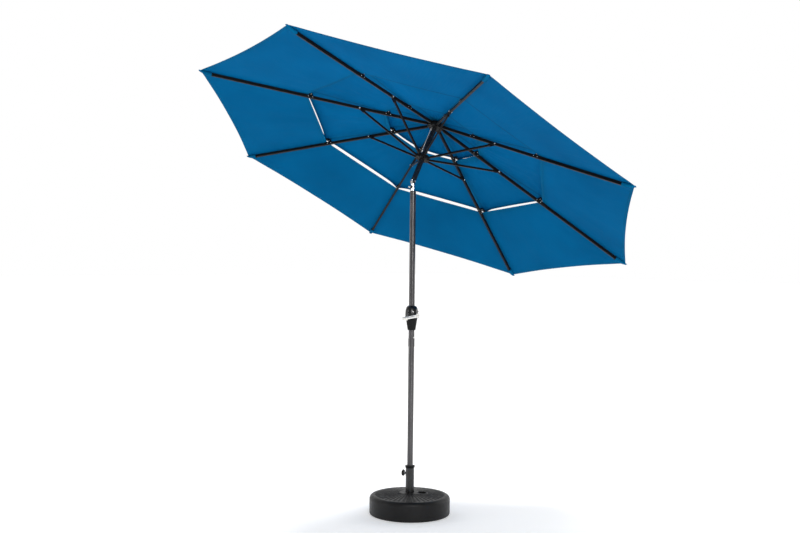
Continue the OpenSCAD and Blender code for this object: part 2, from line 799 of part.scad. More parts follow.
base_shell();
base_ballast();
stem_tube();
stem_collar();
stem_bush();
filler_cap();
clamp_screw();
clamp_knob();
lower_pole();
middle_pole();
snap_button();
snap_spring();
crank_dome();
crank_cone();
housing_screws();
crank_shaft();
crank_arm();
crank_grip();
pole_bush();
tilt_tube();
tilt_pin();
button_seat();
tilt_button();
upper_pole();
hub();
hub_pins();
pulley();
finial();
runner();
runner_pins();
cord_in_pole();
cord_in_head();
cord_run();
rib(0);  // rib_1
rib(1);  // rib_2
rib(2);  // rib_3
rib(3);  // rib_4
rib(4);  // rib_5
rib(5);  // rib_6
rib(6);  // rib_7
rib(7);  // rib_8
strut(0);  // strut_1
strut(1);  // strut_2
strut(2);  // strut_3
strut(3);  // strut_4
strut(4);  // strut_5
strut(5);  // strut_6
strut(6);  // strut_7
strut(7);  // strut_8
fittings(0);  // fittings_1
fittings(1);  // fittings_2
fittings(2);  // fittings_3
fittings(3);  // fittings_4
fittings(4);  // fittings_5
fittings(5);  // fittings_6
fittings(6);  // fittings_7
fittings(7);  // fittings_8
canopy_lower();
canopy_middle();
canopy_top();
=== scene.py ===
"""A tilting market umbrella on a round weighted base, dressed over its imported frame."""

import json
import math

import bmesh
import bpy
import numpy as np
from bpy.props import FloatProperty, FloatVectorProperty, IntProperty, PointerProperty
from mathutils import Matrix, Vector


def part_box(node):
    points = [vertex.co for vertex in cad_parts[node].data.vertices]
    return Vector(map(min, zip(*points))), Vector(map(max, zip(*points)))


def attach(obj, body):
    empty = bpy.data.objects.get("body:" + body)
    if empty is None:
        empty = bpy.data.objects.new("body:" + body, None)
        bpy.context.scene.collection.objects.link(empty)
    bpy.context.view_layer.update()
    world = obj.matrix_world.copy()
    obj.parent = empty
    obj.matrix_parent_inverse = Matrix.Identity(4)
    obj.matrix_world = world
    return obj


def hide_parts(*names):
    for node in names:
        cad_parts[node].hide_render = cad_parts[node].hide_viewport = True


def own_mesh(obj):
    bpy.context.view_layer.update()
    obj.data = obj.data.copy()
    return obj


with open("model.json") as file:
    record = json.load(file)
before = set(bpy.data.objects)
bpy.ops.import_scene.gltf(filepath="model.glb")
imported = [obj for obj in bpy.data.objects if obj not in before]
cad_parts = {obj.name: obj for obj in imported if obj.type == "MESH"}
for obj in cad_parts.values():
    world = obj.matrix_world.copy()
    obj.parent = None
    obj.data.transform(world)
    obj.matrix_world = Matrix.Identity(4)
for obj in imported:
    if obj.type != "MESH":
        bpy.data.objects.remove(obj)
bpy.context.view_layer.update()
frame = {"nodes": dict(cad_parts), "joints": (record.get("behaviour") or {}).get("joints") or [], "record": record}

bl_info = {
    "name": "Patio umbrella with base",
    "version": (1, 0, 0),
    "blender": (4, 5, 0),
    "location": "3D View > Sidebar > Umbrella",
    "description": "Dresses the frame of a tilting market umbrella and sets it on a stage",
    "category": "Add Mesh",
}

RIBS = 8
GORE = math.tau / RIBS
HALF_GORE = GORE / 2
JOINTS = {j["name"]: j for j in frame["joints"]}


# Sizes and colours


def size(name, description, default, least, most):
    """A length in metres that a user may change."""
    return FloatProperty(
        name=name, description=description, default=default, min=least, max=most, unit="LENGTH", precision=4
    )


def count(name, description, default, least, most):
    """A whole number that a user may change."""
    return IntProperty(name=name, description=description, default=default, min=least, max=most)


def angle(name, description, degrees, least, most):
    """An angle that a user may change."""
    return FloatProperty(
        name=name,
        description=description,
        default=math.radians(degrees),
        min=math.radians(least),
        max=math.radians(most),
        subtype="ANGLE",
    )


def share(name, description, default, most=1.0):
    """A plain number from zero up."""
    return FloatProperty(name=name, description=description, default=default, min=0.0, max=most)


def colour(name, description, default):
    """A colour that a user may change."""
    return FloatVectorProperty(
        name=name, description=description, default=default, size=3, min=0.0, max=1.0, subtype="COLOR"
    )


class BaseSizes(bpy.types.PropertyGroup):
    grooves: count("Grooves", "Radial grooves in the base's top", 44, 12, 60)
    groove_depth: size("Groove depth", "Depth of a groove", 0.0025, 0.001, 0.0028)
    groove_from: size("Grooves start", "Radius where the grooves start", 0.066, 0.05, 0.09)
    groove_to: size("Grooves end", "Radius where the grooves end", 0.227, 0.2, 0.232)
    wall: size("Wall", "Wall of the base's shell", 0.003, 0.002, 0.005)
    shoulder: size("Shoulder", "Radius between the side and the top", 0.026, 0.01, 0.035)
    rise: size("Rise", "Rise of the top from the shoulder to the stem", 0.017, 0.005, 0.03)
    well_r: size("Well radius", "Radius of the well for the stem", 0.0279, 0.026, 0.035)
    well_foot: size("Well floor", "Height of the floor of the well", 0.0118, 0.005, 0.02)
    filler_turn: angle("Filler's direction", "Direction of the filler hole", -44.0, -180.0, 180.0)


class CanopySizes(bpy.types.PropertyGroup):
    rib_drop: angle("Rib slope", "Slope of an open rib below level", 13.0, 8.0, 20.0)
    rib_len: size("Rib length", "Length of a rib from its pivot to its tip", 1.45, 1.2, 1.74)
    corner_past: size("Corner", "Distance from a rib's tip to the fabric's corner", 0.06, 0.02, 0.1)
    lower_from: size("Lower tier starts", "Where the lower tier starts along a rib", 0.822, 0.7, 0.9)
    middle_from: size("Middle tier starts", "Where the middle tier starts along a rib", 0.302, 0.25, 0.34)
    overlap: size("Overlap", "Overlap of each tier over the one below it", 0.045, 0.02, 0.09)
    cloth_off: size("Cloth height", "Height of the cloth above a rib's axis", 0.0126, 0.011, 0.02)
    vent_lift: size("Vent height", "Height of a raised tier's corner above a rib's axis", 0.0475, 0.03, 0.07)
    crown_r: size("Crown radius", "Radius where the top tier starts", 0.03, 0.02, 0.05)
    crown_up: size("Crown height", "Height of the top tier's start above the rib pivots", 0.0323, 0.02, 0.05)
    patch_r: size("Crown patch", "Radius of the sewn patch under the finial", 0.088, 0.05, 0.12)
    hem_hollow: size("Hem hollow", "Hollow of the outer hem between two ribs", 0.022, 0.0, 0.06)
    vent_hollow: size("Vent hollow", "Hollow of a raised tier's hem between two ribs", 0.032, 0.0, 0.06)
    sag: size("Sag", "Sag of the cloth half way between two ribs", 0.009, 0.0, 0.03)
    ripple: size("Ripple", "Height of the loose cloth's ripples", 0.0016, 0.0, 0.006)
    fold: size("Corner folds", "Height of the folds that run from a corner", 0.003, 0.0, 0.008)
    cloth_t: size("Cloth", "Thickness of the cloth", 0.0009, 0.0005, 0.002)
    hem_t: size("Hem thickness", "Thickness of the folded hem", 0.0024, 0.001, 0.004)
    hem_w: size("Hem width", "Width of the folded hem", 0.022, 0.01, 0.04)
    seam_w: size("Seam width", "Half width of the seam over a rib", 0.008, 0.005, 0.012)
    stitch: size("Stitch", "Length of a stitch", 0.0042, 0.002, 0.006)
    stitch_pitch: size("Stitch pitch", "Distance from one stitch to the next", 0.0075, 0.004, 0.012)
    thread: size("Thread", "Thickness of the sewing thread", 0.0009, 0.0004, 0.0015)


class FrameSizes(bpy.types.PropertyGroup):
    rib_w: size("Rib width", "Width of a rib", 0.012, 0.01, 0.016)
    rib_h: size("Rib height", "Height of a rib", 0.018, 0.014, 0.022)
    strut_at: size("Strut rivet", "Distance from a rib's pivot to its strut's rivet", 0.475, 0.4, 0.57)
    inner_bracket: size("Inner bracket", "Where the inner vent bracket stands along a rib", 0.282, 0.25, 0.33)
    outer_bracket: size("Outer bracket", "Where the outer vent bracket stands along a rib", 0.799, 0.7, 0.88)
    finger: size("Finger", "Reach of a vent bracket's finger", 0.057, 0.03, 0.09)
    finger_up: size("Finger height", "Height of a finger above a rib's axis", 0.0425, 0.03, 0.07)
    rivet_r: size("Rivet", "Radius of a rivet's head", 0.0029, 0.001, 0.004)
    cord_d: size("Cord", "Diameter of the lift cord", 0.003, 0.002, 0.004)
    cord_x: size("Cord line", "Where the cord runs in the pole", -0.0078, -0.012, 0.0)
    pulley_x: size("Pulley", "Where the pulley stands beside the pole's axis", -0.0173, -0.03, 0.0)
    pulley_r: size("Pulley groove", "Radius of the cord's line round the pulley", 0.0095, 0.008, 0.012)
    pulley_down: size("Pulley depth", "Depth of the pulley below the rib pivots", 0.032, 0.02, 0.05)


class CrankSizes(bpy.types.PropertyGroup):
    arm_len: size("Arm", "Length of the crank arm", 0.128, 0.09, 0.15)
    arm_w: size("Arm width", "Width of the crank arm", 0.02, 0.015, 0.025)
    arm_t: size("Arm thickness", "Thickness of the crank arm", 0.005, 0.003, 0.008)
    arm_out: size("Arm's place", "Distance from the pole's axis to the crank arm", 0.056, 0.05, 0.07)
    arm_droop: angle("Arm's droop", "Angle of the crank arm below level", 6.0, 0.0, 45.0)
    boss_r: size("Boss", "Radius of the crank arm's boss", 0.015, 0.012, 0.02)
    grip_d: size("Grip", "Diameter of the crank's grip", 0.02, 0.016, 0.03)
    grip_len: size("Grip length", "Length of the crank's grip", 0.032, 0.02, 0.06)
    knob_d: size("Knob", "Diameter of the clamp knob", 0.042, 0.03, 0.05)
    knob_t: size("Knob thickness", "Thickness of the clamp knob", 0.014, 0.01, 0.02)
    knob_in: size("Knob's place", "Distance from the stem's axis to the clamp knob", 0.0405, 0.03, 0.06)
    screw_d: size("Clamp screw", "Diameter of the clamp screw", 0.008, 0.006, 0.01)
    thread_pitch: size("Thread pitch", "Pitch of the clamp screw's thread", 0.00125, 0.001, 0.002)


class Colours(bpy.types.PropertyGroup):
    cloth: colour("Cloth", "Colour of the canopy's cloth", (0.0, 0.11, 0.255))
    cloth_glow: colour("Lit cloth", "Colour of light that comes through the cloth", (0.0, 0.19, 0.36))
    base: colour("Base", "Colour of the base's plastic", (0.007, 0.0068, 0.0072))
    black: colour("Black plastic", "Colour of the black fittings", (0.005, 0.005, 0.0053))
    housing: colour("Housing", "Colour of the crank housing", (0.005, 0.005, 0.0055))
    paint: colour("Black paint", "Colour of the painted stem and upper pole", (0.007, 0.007, 0.0075))
    pole: colour("Pole", "Colour of the gunmetal poles", (0.055, 0.053, 0.055))
    rib: colour("Ribs", "Colour of the ribs and struts", (0.0045, 0.004, 0.0038))
    steel: colour("Steel", "Colour of the bright screws and rivets", (0.66, 0.66, 0.65))
    chrome: colour("Chrome", "Colour of the tilt tube", (0.86, 0.86, 0.87))
    grip: colour("Grip", "Colour of the crank's pale plastic", (0.78, 0.76, 0.71))
    cord: colour("Cord", "Colour of the lift cord", (0.7, 0.7, 0.68))
    ballast: colour("Ballast", "Colour of the ballast", (0.5, 0.42, 0.3))
    floor: colour("Floor", "Colour of the floor", (0.92, 0.92, 0.92))


class StageSizes(bpy.types.PropertyGroup):
    camera_far: size("Camera distance", "Distance along the floor from camera to pole", 7.2603, 4.0, 12.0)
    camera_high: size("Camera height", "Height of the camera", 1.6847, 0.2, 3.0)
    camera_round: angle("Camera direction", "Turn of the camera round the pole", -43.86, -180.0, 180.0)
    camera_down: angle("Camera pitch", "How far the camera looks down", 0.6813, -30.0, 30.0)
    camera_roll: angle("Camera roll", "How far the camera leans", 0.6251, -10.0, 10.0)
    camera_yaw: angle("Camera yaw", "How far the camera looks to the left", 0.6217, -30.0, 30.0)
    lens: FloatProperty(
        name="Lens", description="Focal length of the camera", default=50.63, min=20.0, max=120.0
    )
    sky: share("Sky", "Brightness of the pale surroundings", 1.0, 4.0)
    floor_reach: size("Floor", "Distance from the pole to the floor's edge", 60.0, 5.0, 100.0)
    floor_glow: share("Floor glow", "Light given off by the floor, so that it stays pale", 0.24)
    dim: share("Dim side", "Brightness of the surroundings on the camera's side", 0.34)
    key: share("Key light", "Strength of the large light beside the camera", 170.0, 2000.0)
    fill: share("Fill light", "Strength of the fill light", 60.0, 2000.0)
    strips: share("Strip lights", "Strength of the lights that draw lines on the poles", 38.0, 500.0)
    strip_right: angle("Right strip", "Turn from the camera to the right strip light", 26.0, -180.0, 180.0)
    strip_left: angle("Left strip", "Turn from the camera to the left strip light", -74.0, -180.0, 180.0)
    sun: share("Overhead light", "Strength of the light above the canopy", 1.2, 20.0)
    back: share("Back light", "Strength of the light above the far side of the canopy", 210.0, 2000.0)


GROUPS = {
    "umbrella_base": BaseSizes,
    "umbrella_canopy": CanopySizes,
    "umbrella_frame": FrameSizes,
    "umbrella_crank": CrankSizes,
    "umbrella_colours": Colours,
    "umbrella_stage": StageSizes,
}


# Places


def joint_point(name):
    """A joint's place in the frame."""
    return Vector(JOINTS[name]["pos_m"])


HINGE = joint_point("tilt_hinge")
PIVOTS = [joint_point(f"rib_{k + 1}_hinge") for k in range(RIBS)]
HUB = sum(PIVOTS, Vector()) / RIBS
HUB_UP = (HUB - HINGE).length
PIVOT_R = (PIVOTS[0] - HUB).length


def axes_at(origin, x_axis, z_axis):
    """A frame of axes with its +X and +Z along two directions at right angles."""
    x, z = x_axis.normalized(), z_axis.normalized()
    y = z.cross(x)
    made = Matrix((x, y, z)).transposed().to_4x4()
    made.translation = origin
    return made


ON_HUB = axes_at(HUB, PIVOTS[0] - HUB, HUB - HINGE)
ON_HEAD = axes_at(HINGE, Matrix.Rotation(math.radians(90), 3, "Y") @ (HUB - HINGE), HUB - HINGE)


def on_rib(k):
    """Axes at rib k's pivot, with +X along the rib."""
    drop = bpy.context.scene.umbrella_canopy.rib_drop
    return (
        ON_HUB
        @ Matrix.Rotation(k * GORE, 4, "Z")
        @ Matrix.Translation((PIVOT_R, 0.0, 0.0))
        @ Matrix.Rotation(drop, 4, "Y")
    )


# Meshes


def smooth_step(x, low, high):
    """0 below low, 1 above high, and a smooth rise between them."""
    t = np.clip((np.asarray(x, float) - low) / (high - low), 0.0, 1.0)
    return t * t * (3.0 - 2.0 * t)


def revolve(outline, steps, closed=False, swell=None):
    """Points and faces of an outline of (radius, height) turned round +Z.

    swell gives each point's share of its radius, by angle and by row of the outline.
    """
    points, rings = [], []
    for row, (r, z) in enumerate(outline):
        first = len(points)
        if r < 1e-9:
            points.append((0.0, 0.0, z))
            rings.append([first])
            continue
        for j in range(steps):
            a = math.tau * j / steps
            wide = r * (swell(a, row) if swell else 1.0)
            points.append((wide * math.cos(a), wide * math.sin(a), z))
        rings.append(list(range(first, first + steps)))
    faces = []
    pairs = list(zip(rings, rings[1:])) + ([(rings[-1], rings[0])] if closed else [])
    for low, high in pairs:
        for j in range(steps):
            m = (j + 1) % steps
            if len(low) == 1:
                faces.append((low[0], high[m], high[j]))
            elif len(high) == 1:
                faces.append((low[j], low[m], high[0]))
            else:
                faces.append((low[j], low[m], high[m], high[j]))
    return points, faces


def arc(cx, cz, r, start, end, steps):
    """Points of an arc in an outline, its angles in degrees."""
    return [
        (cx + r * math.cos(math.radians(a)), cz + r * math.sin(math.radians(a)))
        for a in np.linspace(start, end, steps + 1)
    ]


def swept(path, sections):
    """Points and faces of closed sections, one at each point of a path in the XZ plane.

    A section holds points (across, up).
    """
    points, n = [], len(sections[0])
    for i, (x, z) in enumerate(path):
        before, after = path[max(i - 1, 0)], path[min(i + 1, len(path) - 1)]
        along = Vector((after[0] - before[0], 0.0, after[1] - before[1])).normalized()
        up = Vector((-along.z, 0.0, along.x))
        for across, high in sections[i]:
            points.append(tuple(Vector((x, 0.0, z)) + up * high + Vector((0.0, across, 0.0))))
    faces = [tuple(reversed(range(n))), tuple(range(len(points) - n, len(points)))]
    for i in range(len(path) - 1):
        for j in range(n):
            m = (j + 1) % n
            faces.append((i * n + j, i * n + m, (i + 1) * n + m, (i + 1) * n + j))
    return points, faces


def cut_corners(x, y, c):
    """A rectangle's section from -x to x and -y to y, with a corner cut of c."""
    lower = [(-x + c, -y), (x - c, -y), (x, -y + c), (x, y - c)]
    return lower + [(-a, -b) for a, b in lower]


def strip(w, t, rounding=0.3):
    """A flat bar's section with cut corners."""
    return cut_corners(w / 2, t / 2, rounding * t)


def tube_along(path, r, sides=10):
    """Points and faces of a round cord along a path, closed at both ends."""
    path = [Vector(p) for p in path]
    points, up = [], Vector((0.0, 1.0, 0.0))
    for i, p in enumerate(path):
        along = (path[min(i + 1, len(path) - 1)] - path[max(i - 1, 0)]).normalized()
        side = along.cross(up).normalized()
        top = side.cross(along)
        for j in range(sides):
            a = math.tau * j / sides
            points.append(tuple(p + (side * math.cos(a) + top * math.sin(a)) * r))
    faces = [tuple(range(sides)), tuple(reversed(range(len(points) - sides, len(points))))]
    for i in range(len(path) - 1):
        for j in range(sides):
            m = (j + 1) % sides
            faces.append((i * sides + m, i * sides + j, (i + 1) * sides + j, (i + 1) * sides + m))
    return points, faces


def moved(part, place):
    """A part's points and faces, with the points carried by a matrix."""
    points, faces = part
    return [tuple(place @ Vector(p)) for p in points], faces


def joined(*parts):
    """Several parts as one list of points and one of faces."""
    points, faces = [], []
    for part_points, part_faces in parts:
        shift = len(points)
        points += list(part_points)
        faces += [tuple(i + shift for i in face) for face in part_faces]
    return points, faces


def make_piece(name, part, place=None, bevel=0.0, sharp=32.0):
    """An object with a part's mesh, its faces outwards, its edges rounded and its soft faces smooth."""
    points, faces = part if place is None else moved(part, place)
    mesh = bpy.data.meshes.new(name)
    mesh.from_pydata([tuple(p) for p in points], [], faces)
    work = bmesh.new()
    work.from_mesh(mesh)
    bmesh.ops.remove_doubles(work, verts=work.verts, dist=1e-6)
    bmesh.ops.recalc_face_normals(work, faces=work.faces)
    work.to_mesh(mesh)
    work.free()
    piece = bpy.data.objects.new(name, mesh)
    bpy.context.scene.collection.objects.link(piece)
    if bevel:
        rounding = piece.modifiers.new("Rounding", "BEVEL")
        rounding.width = bevel
        rounding.segments = 2
        rounding.limit_method = "ANGLE"
        rounding.angle_limit = math.radians(40)
        flatten(piece)
    soften(piece.data, sharp)
    return piece


def soften(mesh, sharp):
    """Smooth shading, with edges over an angle left sharp."""
    mesh.shade_smooth()
    mesh.set_sharp_from_angle(angle=math.radians(sharp))


def flatten(piece):
    """The piece's live modifiers become its plain mesh."""
    graph = bpy.context.evaluated_depsgraph_get()
    graph.update()
    done = bpy.data.meshes.new_from_object(
        piece.evaluated_get(graph), preserve_all_data_layers=True, depsgraph=graph
    )
    piece.modifiers.clear()
    piece.data = done
    done.name = piece.name


def seat(piece, body, finish, slot, *replaced):
    """Puts a finish on a piece, fixes it to its body, and hides the nodes that it stands for."""
    if finish is not None:
        piece.data.materials.clear()
        piece.data.materials.append(finish)
    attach(piece, body)
    if replaced:
        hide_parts(*replaced)
    return piece


# Finishes


def add(tree, kind, sockets=None, **settings):
    """A node with its settings made and its sockets filled or linked."""
    made = tree.nodes.new(kind)
    for key, value in settings.items():
        setattr(made, key, value)
    for key, value in (sockets or {}).items():
        if isinstance(value, bpy.types.NodeSocket):
            tree.links.new(value, made.inputs[key])
        else:
            made.inputs[key].default_value = value
    return made


def new_finish(name):
    """An empty node material: itself, its tree, its shader and its Object coordinates."""
    finish = bpy.data.materials.new(name)
    finish.use_nodes = True
    tree = finish.node_tree
    tree.nodes.clear()
    out = add(tree, "ShaderNodeOutputMaterial")
    shader = add(tree, "ShaderNodeBsdfPrincipled")
    tree.links.new(shader.outputs["BSDF"], out.inputs["Surface"])
    place = add(tree, "ShaderNodeTexCoord").outputs["Object"]
    return finish, tree, shader, place


def noise(tree, place, scale, detail=2.0, stretch=None):
    """Noise on a place, drawn out along an axis if asked."""
    if stretch is not None:
        place = add(tree, "ShaderNodeMapping", {"Vector": place, "Scale": stretch}).outputs["Vector"]
    made = add(tree, "ShaderNodeTexNoise", {"Vector": place, "Scale": scale, "Detail": detail})
    return made.outputs["Fac"]


def between(tree, value, low, high, from_low=0.3, from_high=0.7):
    """A value spread over a new range."""
    made = add(
        tree,
        "ShaderNodeMapRange",
        {"Value": value, "From Min": from_low, "From Max": from_high, "To Min": low, "To Max": high},
    )
    return made.outputs["Result"]


def tint(tree, factor, dark, light):
    """A colour between two others."""
    made = add(tree, "ShaderNodeMix", {"Factor": factor}, data_type="RGBA")
    made.inputs["A"].default_value = (*dark, 1.0)
    made.inputs["B"].default_value = (*light, 1.0)
    return made.outputs["Result"]


def scaled(rgb, by):
    """A colour made lighter or darker."""
    return tuple(min(1.0, c * by) for c in rgb)


def bump(tree, height, strength, distance, under=None):
    """A bump, laid over another if there is one."""
    sockets = {"Height": height, "Strength": strength, "Distance": distance}
    if under is not None:
        sockets["Normal"] = under
    return add(tree, "ShaderNodeBump", sockets).outputs["Normal"]


def moulded(name, rgb, rough, grain=0.35, dust=0.35, coat=0.0, shine=0.5):
    """Moulded plastic: a fine grain, flow marks in its gloss, and a little dust."""
    finish, tree, shader, place = new_finish(name)
    broad = noise(tree, place, 7.0, 4.0)
    cloud = noise(tree, place, 38.0, 3.0)
    spread = add(tree, "ShaderNodeMath", {0: broad, 1: cloud}, operation="MULTIPLY").outputs[0]
    hue = tint(tree, between(tree, spread, 0.0, dust, 0.12, 0.42), scaled(rgb, 0.85), scaled(rgb, 3.2))
    tree.links.new(hue, shader.inputs["Base Color"])
    tree.links.new(between(tree, cloud, rough - 0.06, rough + 0.1), shader.inputs["Roughness"])
    fine = bump(tree, noise(tree, place, 1500.0, 1.0), grain, 0.00012)
    tree.links.new(bump(tree, broad, 0.12, 0.002, fine), shader.inputs["Normal"])
    shader.inputs["Specular IOR Level"].default_value = shine
    shader.inputs["Coat Weight"].default_value = coat
    shader.inputs["Coat Roughness"].default_value = 0.08
    return finish


def painted(name, rgb, rough, metal=0.0, streak=(1.0, 1.0, 0.05), coat=0.0, wear=0.25, shine=0.5):
    """Painted or powder-coated steel: orange peel, rubbed streaks along its length, and small scratches."""
    finish, tree, shader, place = new_finish(name)
    rubbed = noise(tree, place, 160.0, 3.0, stretch=streak)
    broad = noise(tree, place, 5.0, 3.0)
    scratch = noise(tree, place, 420.0, 1.0, stretch=(1.0, 1.0, 0.03))
    mark = between(tree, scratch, 0.0, wear, 0.66, 0.78)
    hue = tint(tree, between(tree, broad, 0.0, 1.0), scaled(rgb, 0.82), scaled(rgb, 1.25))
    worn = add(tree, "ShaderNodeMix", {"Factor": mark, "A": hue}, data_type="RGBA")
    worn.inputs["B"].default_value = (*scaled(rgb, 3.0), 1.0)
    tree.links.new(worn.outputs["Result"], shader.inputs["Base Color"])
    tree.links.new(between(tree, rubbed, rough - 0.05, rough + 0.12), shader.inputs["Roughness"])
    peel = bump(tree, noise(tree, place, 520.0, 1.0), 0.18, 0.00015)
    tree.links.new(bump(tree, rubbed, 0.06, 0.0004, peel), shader.inputs["Normal"])
    shader.inputs["Specular IOR Level"].default_value = shine
    shader.inputs["Metallic"].default_value = metal
    shader.inputs["Coat Weight"].default_value = coat
    shader.inputs["Coat Roughness"].default_value = 0.12
    return finish


def bright(name, rgb, rough, stretch=(1.0, 1.0, 1.0)):
    """Bare or plated steel: drawn lines, dull patches and smudges in its gloss."""
    finish, tree, shader, place = new_finish(name)
    drawn = noise(tree, place, 240.0, 3.0, stretch=stretch)
    patch = noise(tree, place, 26.0, 4.0)
    hue = tint(tree, between(tree, patch, 0.0, 1.0), scaled(rgb, 0.72), scaled(rgb, 1.06))
    tree.links.new(hue, shader.inputs["Base Color"])
    both = add(tree, "ShaderNodeMath", {0: drawn, 1: patch}, operation="ADD").outputs[0]
    tree.links.new(between(tree, both, rough * 0.6, rough * 1.5, 0.7, 1.3), shader.inputs["Roughness"])
    tree.links.new(bump(tree, drawn, 0.1, 0.0002), shader.inputs["Normal"])
    shader.inputs["Metallic"].default_value = 1.0
    return finish


def woven(name, rgb, glow):
    """Canopy cloth: a plain weave, faded patches, and light that comes through a single layer; where the cloth is
    doubled its base colour is darkened as painted shade.
    """
    finish, tree, shader, place = new_finish(name)
    laid = add(tree, "ShaderNodeUVMap", uv_map="Cloth").outputs["UV"]
    warp = add(
        tree, "ShaderNodeTexWave", {"Vector": laid, "Scale": 230.0, "Distortion": 0.3}, bands_direction="X"
    ).outputs["Fac"]
    weft = add(
        tree, "ShaderNodeTexWave", {"Vector": laid, "Scale": 230.0, "Distortion": 0.3}, bands_direction="Y"
    ).outputs["Fac"]
    weave = add(tree, "ShaderNodeMath", {0: warp, 1: weft}, operation="MULTIPLY").outputs[0]
    fade = noise(tree, place, 2.2, 5.0)
    slub = noise(tree, laid, 90.0, 2.0, stretch=(1.0, 0.06, 1.0))
    crease = noise(tree, laid, 9.0, 3.0, stretch=(1.0, 0.35, 1.0))
    layers = add(tree, "ShaderNodeAttribute", attribute_name="layers").outputs["Fac"]
    hue = tint(tree, between(tree, fade, 0.0, 1.0), scaled(rgb, 0.86), scaled(rgb, 1.18))
    gap = between(tree, weave, 0.0, 0.16, 0.0, 1.0)
    threads = add(tree, "ShaderNodeMix", {"Factor": gap, "A": hue}, data_type="RGBA")
    threads.inputs["B"].default_value = (*scaled(rgb, 0.45), 1.0)
    # Painted shade: where the layers attribute marks doubled cloth, the base colour is darkened to a third,
    # standing in for the light that a double layer holds back.
    double = add(
        tree,
        "ShaderNodeMix",
        {"Factor": between(tree, layers, 0.0, 0.3, 0.0, 1.0), "A": threads.outputs["Result"]},
        data_type="RGBA",
    )
    double.inputs["B"].default_value = (*scaled(rgb, 0.35), 1.0)
    tree.links.new(double.outputs["Result"], shader.inputs["Base Color"])
    tree.links.new(between(tree, slub, 0.68, 0.86), shader.inputs["Roughness"])
    relief = bump(tree, weave, 0.25, 0.0002)
    relief = bump(tree, slub, 0.12, 0.0003, relief)
    relief = bump(tree, crease, 0.35, 0.0035, relief)
    tree.links.new(relief, shader.inputs["Normal"])
    shader.inputs["Specular IOR Level"].default_value = 0.02
    through = add(tree, "ShaderNodeBsdfTranslucent", {"Color": (*glow, 1.0), "Normal": relief})
    both = add(
        tree,
        "ShaderNodeMixShader",
        {
            "Fac": between(tree, layers, 0.42, 0.16, 0.0, 1.0),
            1: shader.outputs["BSDF"],
            2: through.outputs["BSDF"],
        },
    )
    out = next(node for node in tree.nodes if node.type == "OUTPUT_MATERIAL")
    tree.links.new(both.outputs["Shader"], out.inputs["Surface"])
    return finish


def braided(name, rgb):
    """Braided cord: crossing strands, darker between them."""
    finish, tree, shader, place = new_finish(name)
    strands = []
    for lean in (0.9, -0.9):
        turned = add(tree, "ShaderNodeMapping", {"Vector": place, "Rotation": (lean, 0.0, 0.0)})
        sockets = {"Vector": turned.outputs["Vector"], "Scale": 170.0}
        strands.append(add(tree, "ShaderNodeTexWave", sockets, bands_direction="Z").outputs["Fac"])
    braid = add(tree, "ShaderNodeMath", {0: strands[0], 1: strands[1]}, operation="MAXIMUM").outputs[0]
    hue = tint(tree, braid, scaled(rgb, 0.45), rgb)
    tree.links.new(hue, shader.inputs["Base Color"])
    tree.links.new(between(tree, braid, 0.7, 0.9, 0.0, 1.0), shader.inputs["Roughness"])
    tree.links.new(bump(tree, braid, 0.6, 0.0004), shader.inputs["Normal"])
    return finish


def packed_sand(name, rgb):
    """Set ballast: coarse grains in a pale binder."""
    finish, tree, shader, place = new_finish(name)
    grains = add(tree, "ShaderNodeTexVoronoi", {"Vector": place, "Scale": 420.0})
    hue = tint(tree, grains.outputs["Distance"], scaled(rgb, 1.1), scaled(rgb, 0.5))
    tree.links.new(hue, shader.inputs["Base Color"])
    tree.links.new(between(tree, noise(tree, place, 30.0), 0.8, 0.98), shader.inputs["Roughness"])
    tree.links.new(bump(tree, grains.outputs["Distance"], 0.5, 0.001), shader.inputs["Normal"])
    return finish


FINISHES = {}


def finishes():
    """Every finish by the name of its material slot, made once."""
    if FINISHES:
        return FINISHES
    c = bpy.context.scene.umbrella_colours
    FINISHES.update(
        base_plastic=moulded("Base plastic", tuple(c.base), 0.42, grain=0.5, dust=0.15, shine=0.2),
        black_plastic=moulded("Black plastic", tuple(c.black), 0.42, dust=0.15, shine=0.2),
        housing_plastic=moulded(
            "Housing plastic", tuple(c.housing), 0.2, grain=0.12, dust=0.1, coat=0.3, shine=0.3
        ),
        cone_plastic=moulded("Satin plastic", tuple(c.black), 0.5, grain=0.4, dust=0.1, shine=0.12),
        fitting_plastic=moulded("Bracket plastic", tuple(c.black), 0.5, dust=0.08, shine=0.1),
        grip_plastic=moulded("Pale plastic", tuple(c.grip), 0.42, grain=0.25, dust=0.12),
        black_steel=painted("Black enamel", tuple(c.paint), 0.2, coat=0.3, shine=0.35),
        gunmetal_steel=painted("Gunmetal paint", tuple(c.pole), 0.24, metal=0.85, coat=0.3),
        rib_steel=painted("Rib paint", tuple(c.rib), 0.42, streak=(0.3, 0.3, 0.3), wear=0.05, shine=0.1),
        bright_steel=bright("Zinc plate", tuple(c.steel), 0.3),
        chrome=bright("Chrome plate", tuple(c.chrome), 0.12, stretch=(1.0, 1.0, 0.04)),
        cord=braided("Braided cord", tuple(c.cord)),
        ballast=packed_sand("Ballast", tuple(c.ballast)),
        canopy_cloth=woven("Canopy cloth", tuple(c.cloth), tuple(c.cloth_glow)),
        thread=painted("Sewing thread", scaled(tuple(c.cloth), 0.5), 0.8, wear=0.0, shine=0.05),
    )
    return FINISHES


# Geometry Nodes


